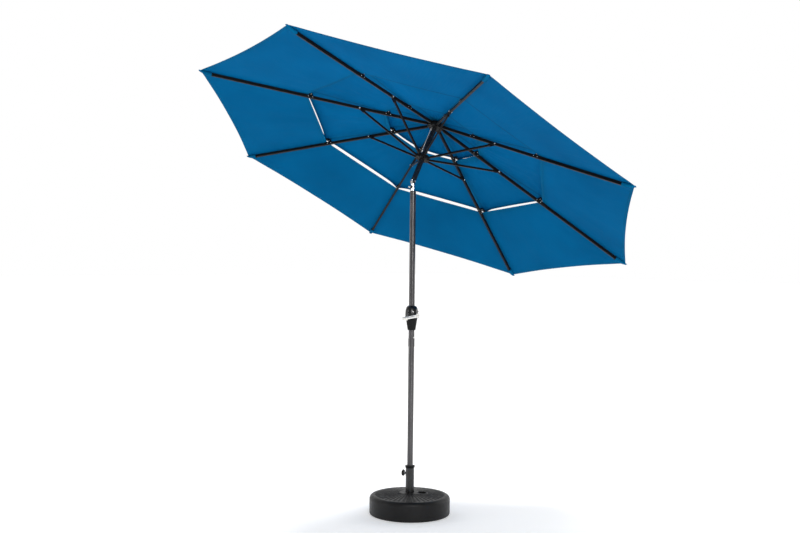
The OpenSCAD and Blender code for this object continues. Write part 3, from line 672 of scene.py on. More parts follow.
def repeat_tree(name, inputs, build):
    """A node group that turns a geometry and named sizes into realized copies with their material."""
    tree = bpy.data.node_groups.new(name, "GeometryNodeTree")
    tree.interface.new_socket("Geometry", in_out="INPUT", socket_type="NodeSocketGeometry")
    names = {}
    for label, kind, default in inputs:
        socket = tree.interface.new_socket(label, in_out="INPUT", socket_type=kind)
        if default is not None:
            socket.default_value = default
        names[label] = socket.identifier
    tree.interface.new_socket("Geometry", in_out="OUTPUT", socket_type="NodeSocketGeometry")
    start = add(tree, "NodeGroupInput")
    copies = build(tree, start)
    real = add(tree, "GeometryNodeRealizeInstances", {0: copies})
    smooth = add(tree, "GeometryNodeSetShadeSmooth", {0: real.outputs[0]})
    finish = start.outputs["Finish"]
    dressed = add(tree, "GeometryNodeSetMaterial", {0: smooth.outputs[0], "Material": finish})
    add(tree, "NodeGroupOutput", {0: dressed.outputs[0]})
    return tree, names


def attribute(tree, name, kind):
    """The named attribute of a tree's geometry."""
    return add(tree, "GeometryNodeInputNamedAttribute", {"Name": name}, data_type=kind).outputs["Attribute"]


def stitch_copies(tree, start):
    """Stitches laid along each line, flat on the cloth."""
    line = add(tree, "GeometryNodeMeshToCurve", {0: start.outputs["Geometry"]})
    spacing = {"Curve": line.outputs[0], "Length": start.outputs["Pitch"]}
    even = add(tree, "GeometryNodeResampleCurve", spacing, mode="LENGTH")
    tangent = add(tree, "GeometryNodeInputTangent").outputs[0]
    along = add(tree, "FunctionNodeAlignRotationToVector", {"Vector": tangent}, axis="X")
    upright = add(
        tree,
        "FunctionNodeAlignRotationToVector",
        {"Rotation": along.outputs[0], "Vector": attribute(tree, "cloth_up", "FLOAT_VECTOR")},
        axis="Z",
        pivot_axis="X",
    )
    thread = add(tree, "GeometryNodeMeshIcoSphere", {"Radius": 0.5, "Subdivisions": 1})
    shape = add(
        tree,
        "ShaderNodeCombineXYZ",
        {0: start.outputs["Length"], 1: start.outputs["Thread"], 2: start.outputs["Depth"]},
    )
    return add(
        tree,
        "GeometryNodeInstanceOnPoints",
        {
            "Points": even.outputs[0],
            "Instance": thread.outputs["Mesh"],
            "Rotation": upright.outputs[0],
            "Scale": shape.outputs[0],
        },
    ).outputs[0]


def rivet_copies(tree, start):
    """A domed head at each point, facing along the point's own direction."""
    out = attribute(tree, "out", "FLOAT_VECTOR")
    upright = add(tree, "FunctionNodeAlignRotationToVector", {"Vector": out}, axis="Z")
    head = add(tree, "GeometryNodeMeshUVSphere", {"Segments": 14, "Rings": 8, "Radius": 1.0})
    shape = add(
        tree,
        "ShaderNodeCombineXYZ",
        {0: start.outputs["Radius"], 1: start.outputs["Radius"], 2: start.outputs["Height"]},
    )
    grown = add(
        tree,
        "ShaderNodeVectorMath",
        {0: shape.outputs[0], "Scale": attribute(tree, "size", "FLOAT")},
        operation="SCALE",
    )
    return add(
        tree,
        "GeometryNodeInstanceOnPoints",
        {
            "Points": start.outputs["Geometry"],
            "Instance": head.outputs["Mesh"],
            "Rotation": upright.outputs[0],
            "Scale": grown.outputs[0],
        },
    ).outputs[0]


TREES = {}


def repeated(name, kind, points, edges, vectors, numbers, values):
    """A plain mesh of copies made by one of the two node groups on points and lines."""
    if kind not in TREES:
        made = {
            "stitches": (
                "Stitch lines",
                [
                    ("Pitch", "NodeSocketFloat", 0.0075),
                    ("Length", "NodeSocketFloat", 0.0042),
                    ("Thread", "NodeSocketFloat", 0.0009),
                    ("Depth", "NodeSocketFloat", 0.003),
                    ("Finish", "NodeSocketMaterial", None),
                ],
                stitch_copies,
            ),
            "rivets": (
                "Rivet heads",
                [
                    ("Radius", "NodeSocketFloat", 0.0024),
                    ("Height", "NodeSocketFloat", 0.0013),
                    ("Finish", "NodeSocketMaterial", None),
                ],
                rivet_copies,
            ),
        }
        TREES[kind] = repeat_tree(*made[kind])
    tree, names = TREES[kind]
    mesh = bpy.data.meshes.new(name)
    mesh.from_pydata([tuple(p) for p in points], edges, [])
    for label, rows in vectors.items():
        named = mesh.attributes.new(label, "FLOAT_VECTOR", "POINT")
        named.data.foreach_set("vector", np.ravel(rows).astype(float))
    for label, rows in numbers.items():
        mesh.attributes.new(label, "FLOAT", "POINT").data.foreach_set("value", np.ravel(rows).astype(float))
    piece = bpy.data.objects.new(name, mesh)
    bpy.context.scene.collection.objects.link(piece)
    repeats = piece.modifiers.new("Repeats", "NODES")
    repeats.node_group = tree
    for label, value in values.items():
        repeats[names[label]] = value
    flatten(piece)
    if not piece.data.polygons:
        raise RuntimeError(f"{name} came out empty")
    return piece


# Canopy


class Tier:
    """One tier of the canopy as a smooth surface over angle and reach, in the hub's axes."""

    def __init__(self, name, inner, outer, hollow, pointed, seed):
        self.name, self.inner, self.outer, self.hollow = name, inner, outer, hollow
        self.pointed = pointed
        self.long = math.dist(inner, outer)
        chance = np.random.default_rng(seed)
        self.waves = [
            (int(n), m, p, a)
            for n, m, p, a in zip(
                chance.integers(2, 8, 7) * RIBS + chance.integers(-3, 4, 7),
                chance.uniform(-5.0, 5.0, 7),
                chance.uniform(0.0, math.tau, 7),
                chance.uniform(0.35, 1.0, 7),
            )
        ]

    def points(self, turn, t):
        """The cloth's middle surface at angles turn and shares t of the way out."""
        s = bpy.context.scene.umbrella_canopy
        r_rib = self.inner[0] + (self.outer[0] - self.inner[0]) * t
        z_rib = self.inner[1] + (self.outer[1] - self.inner[1]) * t
        off_rib = np.abs((turn + HALF_GORE) % GORE - HALF_GORE)
        flat_top = s.seam_w * 0.8 / r_rib
        eased = np.sqrt(off_rib**2 + flat_top**2) - flat_top * (1.0 - (off_rib / HALF_GORE) ** 2)
        r = r_rib * math.cos(HALF_GORE) / np.cos(HALF_GORE - eased)
        q = np.sin(np.minimum(off_rib / HALF_GORE, 1.0) * math.pi / 2)
        across = np.minimum(off_rib / HALF_GORE, 1.0)
        arch = 1.0 - (1.0 - across) ** self.pointed
        drawn_in = self.hollow * arch * t**3
        slope = (self.inner[1] - self.outer[1]) / (self.outer[0] - self.inner[0])
        r = r - drawn_in
        belly = np.sin(np.clip(t, 0.0, 1.0) * math.pi)
        sag = s.sag * (self.long / 0.7) * q**2 * (0.25 + 0.75 * belly)
        z = z_rib + drawn_in * slope / math.cos(HALF_GORE) - sag
        ripple = sum(a * np.sin(n * turn + m * t + p) for n, m, p, a in self.waves) / 2.4
        loose = smooth_step(t, 0.0, 0.2) * smooth_step(1.0 - t, 0.0, 0.25)
        z = z + s.ripple * ripple * q * loose
        side, back = r * np.sin(off_rib), (1.0 - t) * self.long
        near = np.hypot(side, back + 0.02)
        lean = np.arctan2(side, back + 0.02)
        fading = np.exp(-((near / 0.2) ** 2)) * smooth_step(near, 0.03, 0.09)
        z = z + s.fold * np.cos(lean * 11.0) * q * fading
        return np.stack([r * np.cos(turn), r * np.sin(turn), z], axis=-1)

    def normals(self, turn, t):
        """Upward directions across the cloth."""
        step_turn, step_t = 2e-4, 2e-4
        round_way = self.points(turn + step_turn, t) - self.points(turn - step_turn, t)
        out_way = self.points(turn, t + step_t) - self.points(turn, t - step_t)
        up = np.cross(out_way, round_way)
        return up / np.linalg.norm(up, axis=-1, keepdims=True)

    def rows(self):
        """Shares of the way out, close together at the two hems."""
        s = bpy.context.scene.umbrella_canopy
        edge = [0.0, 0.2, 0.9, 1.0]
        hem = s.hem_w / self.long
        inner = [hem * e for e in edge]
        count = max(8, round((1.0 - 2 * hem) * self.long / 0.021))
        middle = list(np.linspace(hem, 1.0 - hem, count + 1)[1:-1])
        outer = [1.0 - hem * e for e in reversed(edge)]
        return np.array(inner + [hem * 1.06] + middle + [1.0 - hem * 1.06] + outer)

    def columns(self, r, across=24):
        """Angles from a rib to half way to the next one: the seam first, and even steps after it."""
        s = bpy.context.scene.umbrella_canopy
        near = np.array([0.0, 0.5, 0.95, 1.05, 1.7]) * s.seam_w
        most = HALF_GORE * r
        near = np.minimum(near, most * np.array([0.0, 0.12, 0.22, 0.26, 0.4]))
        return np.concatenate([near, np.linspace(near[-1], most, across + 1)[1:]]) / r

    def thickness(self, turn, t):
        """The cloth's thickness and how many extra layers it has: hems and seams are folded over."""
        s = bpy.context.scene.umbrella_canopy
        r_rib = self.inner[0] + (self.outer[0] - self.inner[0]) * t
        off_rib = np.abs((turn + HALF_GORE) % GORE - HALF_GORE)
        hem = s.hem_w / self.long
        at_hem = np.where((t <= hem * 1.001) | (t >= 1.0 - hem * 1.001), 1.0, 0.0)
        at_seam = np.where(off_rib * r_rib <= s.seam_w * 1.001, 1.0, 0.0)
        doubled = np.maximum(at_hem, at_seam)
        return s.cloth_t + (s.hem_t - s.cloth_t) * doubled, doubled


def rib_point(s_along, off):
    """(radius, height) from the hub of a point along a rib and off above its axis."""
    drop = bpy.context.scene.umbrella_canopy.rib_drop
    return (
        PIVOT_R + s_along * math.cos(drop) + off * math.sin(drop),
        off * math.cos(drop) - s_along * math.sin(drop),
    )


def tiers():
    """The canopy's tiers."""
    s = bpy.context.scene.umbrella_canopy
    return [
        Tier(
            "lower",
            rib_point(s.lower_from, s.cloth_off),
            rib_point(s.rib_len + s.corner_past, s.cloth_off),
            s.hem_hollow,
            2.4,
            11,
        ),
        Tier(
            "middle",
            rib_point(s.middle_from, s.cloth_off),
            rib_point(s.lower_from + s.overlap, s.vent_lift),
            s.vent_hollow,
            8.0,
            12,
        ),
        Tier(
            "top",
            (s.crown_r, s.crown_up),
            rib_point(s.middle_from + s.overlap - 0.005, s.vent_lift),
            s.vent_hollow / 2,
            8.0,
            13,
        ),
    ]


def gore_piece(tier, k):
    """The part of a tier that one rib carries: a thin closed shell, half a gore to each side."""
    rows = tier.rows()
    r_rows = tier.inner[0] + (tier.outer[0] - tier.inner[0]) * rows
    off = np.array([tier.columns(r) for r in r_rows])
    off = np.concatenate([-off[:, :0:-1], off], axis=1)
    turn = off + k * GORE
    t = np.repeat(rows[:, None], turn.shape[1], axis=1)
    middle, up = tier.points(turn, t), tier.normals(turn, t)
    thick, doubled = tier.thickness(turn, t)
    n_rows, n_cols = turn.shape
    n = n_rows * n_cols
    top = (middle + up * thick[..., None] / 2).reshape(-1, 3)
    under = (middle - up * thick[..., None] / 2).reshape(-1, 3)
    faces, face_kinds = [], []
    number = np.arange(n).reshape(n_rows, n_cols)
    for i in range(n_rows - 1):
        for j in range(n_cols - 1):
            a, b, c, d = number[i, j], number[i + 1, j], number[i + 1, j + 1], number[i, j + 1]
            faces.append((a, b, c, d))
            faces.append((n + a, n + d, n + c, n + b))
            face_kinds += [1, -1]
    rim = [*number[0, :], *number[1:, -1], *number[-1, -2::-1], *number[-2:0:-1, 0]]
    for a, b in zip(rim, rim[1:] + rim[:1]):
        faces.append((a, b, n + b, n + a))
        face_kinds.append(0)
    place = np.array(ON_HUB)
    points = np.concatenate([top, under]) @ place[:3, :3].T + place[:3, 3]
    ups = up.reshape(-1, 3) @ place[:3, :3].T
    mesh = bpy.data.meshes.new(f"canopy_{tier.name}_{k + 1}")
    mesh.from_pydata(points.tolist(), [], [tuple(int(i) for i in f) for f in faces])
    mesh.shade_smooth()
    laid = mesh.uv_layers.new(name="Cloth")
    across = (off * r_rows[:, None]).ravel()
    along = (t * tier.long).ravel()
    corners = np.zeros(len(mesh.loops), int)
    mesh.loops.foreach_get("vertex_index", corners)
    laid.data.foreach_set("uv", np.stack([across[corners % n], along[corners % n]], axis=1).ravel())
    # The layers attribute marks doubled hems and seams; the cloth finish lets less light through there and also
    # darkens the base colour there as painted shade.
    mesh.attributes.new("layers", "FLOAT", "POINT").data.foreach_set("value", np.tile(doubled.ravel(), 2))
    flat = np.zeros((len(mesh.loops), 3))
    for polygon, kind in zip(mesh.polygons, face_kinds):
        for corner in polygon.loop_indices:
            if kind:
                flat[corner] = ups[corners[corner] % n] * kind
            else:
                flat[corner] = polygon.normal
    mesh.normals_split_custom_set(flat.tolist())
    piece = bpy.data.objects.new(mesh.name, mesh)
    bpy.context.scene.collection.objects.link(piece)
    half_area = 0.5 * sum(p.area for p, kind in zip(mesh.polygons, face_kinds) if kind)
    return piece, half_area


def stitch_lines(tier, k):
    """The sewn lines of one gore piece: one along the inner hem, two along the outer hem and one on each side of
    the seam over the rib.
    """
    s = bpy.context.scene.umbrella_canopy
    hem = s.hem_w / tier.long
    points, ups, edges = [], [], []

    def line(turn, t):
        first = len(points)
        points.extend(tier.points(turn, t).tolist())
        ups.extend(tier.normals(turn, t).tolist())
        edges.extend((i, i + 1) for i in range(first, len(points) - 1))

    reach = np.linspace(-HALF_GORE, HALF_GORE, 121) * 0.998 + k * GORE
    for share_out in (hem * 0.8, 1.0 - hem * 0.8, 1.0 - hem * 0.16):
        line(reach, np.full(reach.shape, share_out))
    t = np.linspace(hem * 1.2, 1.0 - hem * 1.2, 50)
    r = tier.inner[0] + (tier.outer[0] - tier.inner[0]) * t
    for side in (-1.0, 1.0):
        line(side * np.minimum(s.seam_w * 0.75 / r, HALF_GORE * 0.2) + k * GORE, t)
    place = np.array(ON_HUB)
    points = np.array(points) @ place[:3, :3].T + place[:3, 3]
    ups = np.array(ups) @ place[:3, :3].T
    return points, edges, ups


def pocket(k):
    """The fabric pocket under a corner, where the rib's tip pushes in."""
    s = bpy.context.scene.umbrella_canopy
    ring, path = [], []
    for i, x in enumerate(np.linspace(s.rib_len - 0.012, s.rib_len + s.corner_past * 1.2, 9)):
        share_out = i / 8
        wide = 0.0165 * (1.0 - share_out) + 0.009 * share_out
        deep = 0.0215 * (1.0 - share_out**2) + 0.004
        path.append((x, s.cloth_off - deep / 2))
        ring.append(
            [
                (wide * math.copysign(abs(math.cos(a)) ** 0.6, math.cos(a)), deep / 2 * math.sin(a))
                for a in np.linspace(0.0, math.tau, 20, endpoint=False)
            ]
        )
    return moved(swept(path, ring), on_rib(k))


class UMBRELLA_OT_canopy(bpy.types.Operator):
    """Cut and sew the three tiers of cloth, one gore piece for each rib"""

    bl_idname = "umbrella.canopy"
    bl_label = "Canopy"

    def execute(self, context):
        s = context.scene.umbrella_canopy
        nodes = {"lower": "canopy_lower", "middle": "canopy_middle", "top": "canopy_top"}
        cloth, thread = finishes()["canopy_cloth"], finishes()["thread"]
        for tier in tiers():
            for k in range(RIBS):
                body = f"rib_{k + 1}"
                piece, area = gore_piece(tier, k)
                seat(piece, body, cloth, "canopy_cloth", nodes[tier.name])
                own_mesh(piece)
                points, edges, ups = stitch_lines(tier, k)
                sewn = repeated(
                    f"stitches_{tier.name}_{k + 1}",
                    "stitches",
                    points,
                    edges,
                    {"cloth_up": ups},
                    {},
                    {
                        "Pitch": s.stitch_pitch,
                        "Length": s.stitch,
                        "Thread": s.thread,
                        "Depth": s.hem_t + 0.0009,
                        "Finish": thread,
                    },
                )
                seat(sewn, body, None, "canopy_cloth")
                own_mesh(sewn)
        self.crown(context)
        self.pockets(context)
        return {"FINISHED"}

    def crown(self, context):
        """The sewn patch that the finial clamps down."""
        s = context.scene.umbrella_canopy
        slope = tiers()[2]
        fall = (slope.inner[1] - slope.outer[1]) / (slope.outer[0] - slope.inner[0])
        lift = 0.0016
        outline = []
        for r in np.linspace(0.007, s.patch_r, 12):
            outline.append((r, s.crown_up + lift - max(0.0, r - s.crown_r) * fall))
        under = [(r, z - 0.0011) for r, z in reversed(outline)]

        def eightfold(a, row):
            off = abs((a + HALF_GORE) % GORE - HALF_GORE)
            return math.cos(HALF_GORE) / math.cos(HALF_GORE - off)

        part = revolve(outline + under, 96, closed=True, swell=eightfold)
        patch = make_piece("canopy_crown_patch", part, ON_HUB)
        uv = patch.data.uv_layers.new(name="Cloth")
        back = ON_HUB.inverted()
        for loop in patch.data.loops:
            p = back @ patch.data.vertices[loop.vertex_index].co
            uv.data[loop.index].uv = (p.x, p.y)
        # The patch is marked doubled all over, so the cloth finish darkens its base colour as painted shade.
        patch.data.attributes.new("layers", "FLOAT", "POINT").data.foreach_set(
            "value", np.ones(len(patch.data.vertices))
        )
        seat(patch, "head", finishes()["canopy_cloth"], "canopy_cloth")

    def pockets(self, context):
        """The eight corner pockets, which ride on their ribs."""
        for k in range(RIBS):
            piece = make_piece(f"corner_pocket_{k + 1}", pocket(k))
            uv = piece.data.uv_layers.new(name="Cloth")
            back = on_rib(k).inverted()
            for loop in piece.data.loops:
                p = back @ piece.data.vertices[loop.vertex_index].co
                uv.data[loop.index].uv = (p.y, p.x)
            # Each pocket is marked doubled all over, so the cloth finish darkens its base colour as painted shade.
            piece.data.attributes.new("layers", "FLOAT", "POINT").data.foreach_set(
                "value", np.ones(len(piece.data.vertices))
            )
            seat(piece, f"rib_{k + 1}", finishes()["canopy_cloth"], "canopy_cloth")


# Base


FILLER_AT = 0.08  # metres from the stem's axis to the filler hole


def base_solid(s, outer, grooved):
    """The base's outside, or its cavity, as points and faces, with its overall sizes from the CAD box."""
    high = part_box("base_shell")[1]
    inset = 0.0 if outer else s.wall
    side = high.x - inset
    dome_z = high.z
    rim_z = dome_z - s.rise
    foot = 0.014 - inset
    round_r = s.shoulder - inset
    edge_r = high.x - s.shoulder
    boss_r = s.well_r + 0.0136
    filler = Vector((math.cos(s.filler_turn), math.sin(s.filler_turn), 0.0)) * FILLER_AT
    outline = [(0.0, inset), (side * 0.5, inset), (side - foot - 0.004, inset)]
    outline += arc(side - foot, inset + foot, foot, -90, -6, 8)
    outline += [(side, z) for z in np.linspace(inset + foot + 0.006, rim_z - s.shoulder - 0.004, 5)]
    outline += arc(side - round_r, rim_z - s.shoulder, round_r, 0, 84, 12)
    marks = sorted(
        set(np.round(np.linspace(edge_r, s.groove_to + 0.004, 3), 5))
        | set(np.round(np.linspace(s.groove_to + 0.002, s.groove_to - 0.008, 6), 5))
        | set(np.round(np.linspace(s.groove_to - 0.008, s.groove_from + 0.008, 22), 5))
        | set(np.round(np.linspace(s.groove_from + 0.008, s.groove_from - 0.002, 6), 5))
        | {boss_r, round(boss_r + 0.01, 5)},
        reverse=True,
    )
    outline += [(r, rim_z + s.rise * (edge_r - r) / (edge_r - boss_r) - inset) for r in marks]
    if outer:
        outline += [(s.well_r + 0.002, dome_z), (s.well_r + 0.0005, dome_z - 0.0006)]
        outline += [(s.well_r, dome_z - 0.002), (s.well_r, s.well_foot), (0.0, s.well_foot)]
    else:
        outline += [(s.well_r + s.wall, dome_z - inset), (s.well_r + s.wall, inset)]
        outline[0] = (s.well_r + s.wall, inset)
        outline.pop()
    steps = s.grooves * (12 if grooved else 3)
    points, faces = revolve(outline, steps, closed=not outer)
    if not grooved:
        return points, faces
    cut = []
    for x, y, z in points:
        r = math.hypot(x, y)
        if z > rim_z - 0.001 and s.groove_from - 0.003 < r < s.groove_to + 0.003:
            pitch = math.tau / s.grooves
            off = abs((math.atan2(y, x)) % pitch - pitch / 2) / pitch
            across = 1.0 - float(smooth_step(off, 0.17, 0.29))
            from_filler = math.hypot(x - filler.x, y - filler.y)
            ends = float(
                smooth_step(r, s.groove_from - 0.001, s.groove_from + 0.006)
                * (1.0 - smooth_step(r, s.groove_to - 0.006, s.groove_to + 0.001))
                * smooth_step(from_filler, 0.038, 0.042)
            )
            z -= s.groove_depth * across * ends
        cut.append((x, y, z))
    return cut, faces


def subtract(piece, *tools):
    """Cuts tools out of a piece, and removes them."""
    for tool in tools:
        cutter = piece.modifiers.new("Cut", "BOOLEAN")
        cutter.operation = "DIFFERENCE"
        cutter.solver = "MANIFOLD"
        cutter.object = tool
    flatten(piece)
    for tool in tools:
        bpy.data.objects.remove(tool)


class UMBRELLA_OT_base(bpy.types.Operator):
    """Mould the round base with its grooves, its filler recess and the cap"""

    bl_idname = "umbrella.base"
    bl_label = "Base"

    def execute(self, context):
        s = context.scene.umbrella_base
        cap_low, cap_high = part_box("filler_cap")
        centre = Vector(((cap_low.x + cap_high.x) / 2, (cap_low.y + cap_high.y) / 2, 0.0))
        flange_r = (cap_high.x - cap_low.x) / 2
        seat_z = cap_low.z + 0.012
        shell = make_piece("base_drum", base_solid(s, True, True))
        hollow = make_piece("hollow", base_solid(s, False, False))
        recess_r = flange_r + 0.004
        cup_r = recess_r + s.wall
        at = Matrix.Translation(centre)
        cup = make_piece("cup", self.disc(cup_r, seat_z - s.wall, 0.16), at)
        cut = make_piece("cut", self.disc(recess_r, seat_z - 0.0002, 0.2), at)
        hole = make_piece("hole", self.disc(flange_r - 0.006, 0.05, 0.18), at)
        subtract(hollow, cup)
        subtract(shell, hollow, cut, hole)
        lip = self.lip(s, centre, recess_r)
        work = bmesh.new()
        work.from_mesh(shell.data)
        work.from_mesh(lip.data)
        work.to_mesh(shell.data)
        work.free()
        bpy.data.objects.remove(lip)
        soften(shell.data, 28.0)
        seat(shell, "base", finishes()["base_plastic"], "base_plastic", "base_shell")
        if not shell.data.polygons:
            raise RuntimeError("the base drum came out empty")
        self.cap(s, centre, flange_r, seat_z, cap_low.z)
        return {"FINISHED"}

    def disc(self, r, low, high):
        """A round plug to cut with."""
        return revolve([(0.0, low), (r, low), (r, high), (0.0, high)], 96)

    def lip(self, s, centre, r):
        """The rounded lip that runs round the filler recess on the sloping top."""
        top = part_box("base_shell")[1]
        edge_r, boss_r = top.x - s.shoulder, s.well_r + 0.0136
        points, faces = revolve(arc(r + 0.0012, 0.0, 0.0022, 0, 330, 11), 96, closed=True)
        placed = []
        for x, y, z in points:
            away = math.hypot(x + centre.x, y + centre.y)
            ground = top.z - s.rise * (away - boss_r) / (edge_r - boss_r)
            placed.append((x + centre.x, y + centre.y, z + ground - 0.0012))
        return make_piece("lip", (placed, faces))

    def cap(self, s, centre, r, seat_z, low):
        """The filler cap: a knurled flange with a bar to turn it by, and a plug below."""
        flange = [(0.0, low), (r - 0.0075, low), (r - 0.007, low + 0.0006), (r - 0.007, seat_z)]
        flange += [(r - 0.0008, seat_z), (r, seat_z + 0.0008)]
        flange += [(r, seat_z + 0.0026), (r - 0.0012, seat_z + 0.004)]
        flange += [(r - 0.004, seat_z + 0.004), (r - 0.0048, seat_z + 0.0032), (0.0, seat_z + 0.0032)]

        def knurled(a, row):
            return 1.0 - (0.012 * max(0.0, math.sin(30 * a)) if 4 <= row <= 6 else 0.0)

        turn = Matrix.Translation(centre) @ Matrix.Rotation(s.filler_turn, 4, "Z")
        disc = revolve(flange, 240, swell=knurled)
        reach, inner, end_z, mid_z = r - 0.008, r - 0.012, seat_z + 0.0035, seat_z + 0.0065
        bar = swept(
            [(-reach, end_z), (-inner, mid_z), (inner, mid_z), (reach, end_z)],
            [strip(0.006, t) for t in (0.005, 0.0086, 0.0086, 0.005)],
        )
        piece = make_piece("filler_cap_turned", joined(disc, bar), turn)
        seat(piece, "filler_cap", finishes()["base_plastic"], "base_plastic", "filler_cap")


# Clamp and crank


class UMBRELLA_OT_clamp(bpy.types.Operator):
    """Make the clamp's threaded screw and its lobed knob"""

    bl_idname = "umbrella.clamp"
    bl_label = "Clamp"

    def execute(self, context):
        s = context.scene.umbrella_crank
        joint = JOINTS["clamp_knob_turn"]
        out, start = Vector(joint["axis"]), Vector(joint["pos_m"])
        start = Vector((0.0, 0.0, start.z))
        place = axes_at(start, Vector((0.0, 0.0, 1.0)), out)
        r = s.screw_d / 2
        from_r = 0.0194
        length = s.knob_in + 0.001 - from_r
        rows = max(24, round(length / s.thread_pitch * 8))
        sides = 24
        crest = [(r, from_r + length * i / rows) for i in range(rows + 1)]
        points, faces = revolve([(0.0, from_r)] + crest + [(0.0, from_r + length)], sides)
        wound = []
        for x, y, z in points:
            wide = math.hypot(x, y)
            if wide > 1e-6:
                phase = (z / s.thread_pitch - math.atan2(y, x) / math.tau) % 1.0
                wide_now = r - 0.00055 * abs(2.0 * phase - 1.0)
                x, y = x * wide_now / wide, y * wide_now / wide
            wound.append((x, y, z))
        screw = make_piece("clamp_screw_threaded", (wound, faces), place, sharp=60.0)
        seat(screw, "clamp", finishes()["bright_steel"], "bright_steel", "clamp_screw")
        self.knob(s, place)
        return {"FINISHED"}

    def knob(self, s, place):
        """A round knob with eight shallow lobes, a dished face and a hub."""
        r, t, z = s.knob_d / 2, s.knob_t, s.knob_in
        outline = [(0.0, z), (r * 0.6, z), (r * 0.62, z + 0.0008), (r * 0.63, z + 0.0018)]
        outline += [(r - 0.004, z + 0.0022)]
        outline += arc(r - 0.003, z + 0.0052, 0.003, -80, 0, 5)
        outline += arc(r - 0.0035, z + t - 0.0052, 0.0035, 0, 80, 5)
        outline += [(r * 0.66, z + t - 0.0012), (r * 0.6, z + t - 0.0002), (r * 0.5, z + t - 0.0004)]
        outline += [(r * 0.42, z + t - 0.0016), (0.0, z + t - 0.0019)]

        def lobed(a, row):
            if not 4 <= row <= 17:
                return 1.0
            return 1.0 - 0.035 * (1.0 - math.cos(8 * a)) * (1.0 if 5 <= row <= 16 else 0.5)

        knob = make_piece("clamp_knob_lobed", revolve(outline, 128, swell=lobed), place)
        seat(knob, "clamp", finishes()["black_plastic"], "black_plastic", "clamp_knob")


class UMBRELLA_OT_crank(bpy.types.Operator):
    """Make the crank's pressed arm, its pale boss and its ringed grip"""

    bl_idname = "umbrella.crank"
    bl_label = "Crank"

    def execute(self, context):
        s = context.scene.umbrella_crank
        shaft = joint_point("crank_turn")
        place = (
            Matrix.Translation((0.0, -s.arm_out, shaft.z))
            @ Matrix.Rotation(-s.arm_droop, 4, "Y")
            @ Matrix.Rotation(math.pi, 4, "Z")
        )
        half = s.arm_w / 2
        outline = arc(0.0, 0.0, half, 90, 270, 14) + arc(s.arm_len, 0.0, half * 0.92, -90, 90, 14)
        n, t = len(outline), s.arm_t / 2
        points = [(x, -t, z) for x, z in outline] + [(x, t, z) for x, z in outline]
        faces = [tuple(range(n)), tuple(reversed(range(n, 2 * n)))]
        faces += [(i, (i + 1) % n, n + (i + 1) % n, n + i) for i in range(n)]
        arm = make_piece("crank_arm_pressed", (points, faces), place, bevel=0.0009)
        seat(arm, "crank", finishes()["bright_steel"], "bright_steel", "crank_arm")
        swage = swept(
            [(0.03, 0.0), (0.034, 0.0), (0.102, 0.0), (0.106, 0.0)],
            [[(y * k, z * k) for y, z in strip(0.0062, 0.007)] for k in (0.86, 1.0, 1.0, 0.86)],
        )
        turned = [(x, z, y) for x, y, z in swage[0]]
        rib = make_piece("crank_arm_rib", (turned, swage[1]), place)
        seat(rib, "crank", finishes()["bright_steel"], "bright_steel")
        self.boss(s, shaft)
        self.grip(s)
        return {"FINISHED"}

    def boss(self, s, shaft):
        """The pale boss that holds the arm on its shaft, with its screw."""
        at = axes_at(Vector((0.0, 0.0, shaft.z)), Vector((1.0, 0.0, 0.0)), Vector((0.0, -1.0, 0.0)))
        low, high = s.arm_out - 0.0045, s.arm_out + 0.0045
        r = s.boss_r
        outline = [(0.0, low), (r - 0.001, low), (r, low + 0.001)]
        outline += arc(r - 0.002, high - 0.002, 0.002, 0, 85, 6)
        outline += [(r * 0.68, high), (r * 0.62, high - 0.0009), (0.0, high - 0.0012)]
        boss = make_piece("crank_boss", revolve(outline, 72), at)
        seat(boss, "crank", finishes()["grip_plastic"], "grip_plastic")
        top = s.arm_out + 0.0044
        head = [(0.0, top - 0.003), (0.0052, top - 0.003), (0.0052, top + 0.0008)]
        head += [(0.0044, top + 0.0018), (0.0024, top + 0.0024), (0.0022, top + 0.0008), (0.0, top + 0.0008)]
        screw = make_piece("crank_boss_screw", revolve(head, 36), at)
        seat(screw, "crank", finishes()["bright_steel"], "bright_steel")

    def grip(self, s):
        """A turned grip with rings and a rounded end, on its own pin."""
        joint = JOINTS["grip_spin"]
        place = axes_at(Vector(joint["pos_m"]), Vector((1.0, 0.0, 0.0)), Vector(joint["axis"]))
        end = Vector(joint["pos_m"]).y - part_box("crank_grip")[0].y
        start = end - s.grip_len
        r = s.grip_d / 2
        outline = [(0.0, start - 0.003), (0.003, start - 0.003), (0.003, start), (r * 0.72, start)]
        outline += arc(r - 0.0022, start + 0.0022, 0.0022, -80, 0, 4)
        rings = 4
        for i in range(rings):
            z = start + 0.007 + i * (s.grip_len - 0.014) / rings
            outline += [(r, z), (r - 0.0007, z + 0.0007), (r - 0.0007, z + 0.0021), (r, z + 0.0028)]
        outline += arc(r - 0.004, end - 0.004, 0.004, 0, 84, 7)
        outline += [(r * 0.4, end), (r * 0.34, end - 0.0008), (0.0, end - 0.0011)]
        grip = make_piece("crank_grip_ringed", revolve(outline, 64), place)
        seat(grip, "crank_grip", finishes()["grip_plastic"], "grip_plastic", "crank_grip")


# Cords


